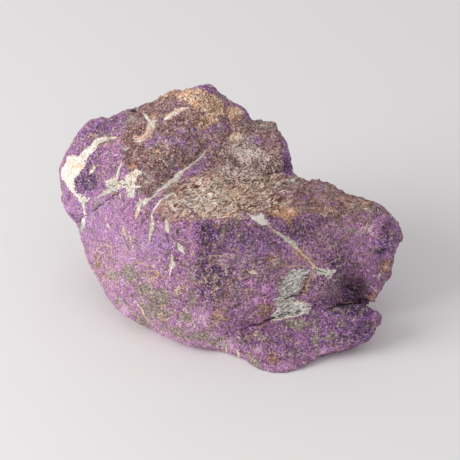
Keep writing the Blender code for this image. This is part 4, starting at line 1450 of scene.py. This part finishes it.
def specks(node, rock, below):
    """Pale specks, in the part of their small cells that the field gives: a cell has one where the field
    is above its random value."""
    cells = {"Vector": rock["place"], "Scale": 1 / SPECK_CELL}
    dot = node("TexVoronoi", cells)
    chance = node("TexVoronoi", cells, out="Color")
    allowed = node("Math", {0: rock["speck"], 1: chance}, operation="GREATER_THAN")
    core, faded = SPECK_EDGE
    small = node("MapRange", {"Value": dot, "From Min": core, "From Max": faded, "To Min": 1, "To Max": 0})
    mask = node("Math", {0: allowed, 1: small}, operation="MULTIPLY")
    return paint(node, below, mask, SPECK, rock["fine"])


def veins(node, rock, colour):
    """The fibrous grey patch, the tan lines, the cream veins with their brown rims and their greyer and
    warmer stretches, and the open cracks with the dark lines of painted shade drawn among them."""
    wobble = {
        name: node(
            "MapRange",
            {"Value": rock["flecks"], "From Max": FLECKS_MOST, "To Min": least, "To Max": most},
        )
        for name, (least, most) in WOBBLES.items()
    }
    grey = node("ValToRGB", {"Fac": rock["fibrous"]}, stops=GREY)
    colour = body(node, colour, "grey", wobble["body"], grey)
    tan = node("ValToRGB", {"Fac": rock["lit"]}, stops=TAN)
    colour = stroke(node, colour, "line", wobble["line"], tan)

    around = node("Math", {0: wobble["vein"], 1: VEIN_RIM}, operation="SUBTRACT")
    rim = node("ValToRGB", {"Fac": rock["lit"]}, stops=BROWN)
    colour = stroke(node, colour, "vein", around, rim)
    filling = node("ValToRGB", {"Fac": rock["filling"]}, stops=CREAM)
    for name in ("vein_grey", "vein_warm"):
        filling = stain(node, rock, filling, name)
    colour = stroke(node, colour, "vein", wobble["vein"], filling)
    colour = body(node, colour, "cream", wobble["body"], filling)
    return stroke(node, colour, "crack", wobble["vein"], to_linear(CRACK_AND_SHADE_COLOUR))


def weathered_rock():
    """Violet phosphate rock, broken and weathered: the violet, then each layer over it."""
    # Breaking leaves grains and facets that catch the light one by one, and weathering dulls them. The eye
    # gets a matt stone that sparkles light and dark from grain to grain, with no gloss anywhere.
    material = bpy.data.materials.new("violet_phosphate_broken_and_weathered")
    material.use_nodes = True
    tree = material.node_tree
    node = partial(add, tree)
    rock = rock_patterns(node)
    colour = violet(node, rock)
    for layer in (minerals, tan_net, specks, veins):
        colour = layer(node, rock, colour)

    # Pale grains stand up and dark gaps lie low.
    rock["pale"] = node("RGBToBW", {"Color": colour})
    mix_shades(node, rock, "height")
    normal = node("Bump", {"Height": rock["height"], "Strength": GRAIN_STRENGTH, "Distance": GRAIN_HEIGHT})
    shader = tree.nodes["Principled BSDF"]
    shader.inputs["Roughness"].default_value = ROCK_ROUGHNESS
    shader.inputs["IOR"].default_value = ROCK_IOR
    tree.links.new(colour, shader.inputs["Base Color"])
    tree.links.new(normal, shader.inputs["Normal"])
    return material


def pale_card():
    """White card with a matt pressed face, for the floor."""
    # Pressed fibres scatter the light evenly: an even pale ground with soft shadows and no glare.
    material = bpy.data.materials.new("matt_white_card")
    material.use_nodes = True
    shader = material.node_tree.nodes["Principled BSDF"]
    shader.inputs["Base Color"].default_value = to_linear(CARD_COLOUR)
    shader.inputs["Roughness"].default_value = CARD_ROUGHNESS
    return material


def add_camera():
    """The photograph's view: a long lens that shows PIXEL of stone in each of its pixels at the aim."""
    data = bpy.data.cameras.new("front_view")
    data.sensor_width = SENSOR
    data.lens = SENSOR * DISTANCE / (PIXEL * PHOTO)
    data.clip_start = CLIP_START
    camera = bpy.data.objects.new("front_view", data)
    camera.location = EYE
    camera.rotation_euler = Vector(BACK).to_track_quat("Z", "Y").to_euler()
    bpy.context.scene.collection.objects.link(camera)
    bpy.context.scene.camera = camera


def add_lamp(name, direction, distance, size, power):
    """A square soft lamp, this far from the aim in this direction, that faces it."""
    data = bpy.data.lights.new(name, "AREA")
    data.size = size
    data.energy = power
    lamp = bpy.data.objects.new(name, data)
    toward = Vector(direction).normalized()
    lamp.location = Vector(AIM) + toward * distance
    lamp.rotation_euler = toward.to_track_quat("Z", "Y").to_euler()
    bpy.context.scene.collection.objects.link(lamp)


def add_floor():
    """The plain pale floor that the stone rests on."""
    mesh = bpy.data.meshes.new("floor")
    reach = FLOOR_SIDE / 2
    corners = [(-reach, -reach, 0), (reach, -reach, 0), (reach, reach, 0), (-reach, reach, 0)]
    mesh.from_pydata(corners, [], [(0, 1, 2, 3)])
    mesh.materials.append(pale_card())
    floor = bpy.data.objects.new("floor", mesh)
    bpy.context.scene.collection.objects.link(floor)
    return floor


def add_sky():
    """Even white light from all round."""
    world = bpy.data.worlds.new("studio")
    world.use_nodes = True
    sky = world.node_tree.nodes["Background"]
    sky.inputs["Color"].default_value = to_linear(SKY_COLOUR)
    sky.inputs["Strength"].default_value = SKY_STRENGTH
    bpy.context.scene.world = world


skin = make_skin(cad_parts[NODE])
lay_out(skin)
skin.data.materials.clear()
skin.data.materials.append(weathered_rock())

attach(skin, "root")
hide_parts(NODE)
add_floor()
add_sky()
add_lamp("key", **KEY)
add_camera()

bpy.context.scene.view_settings.view_transform = "Standard"
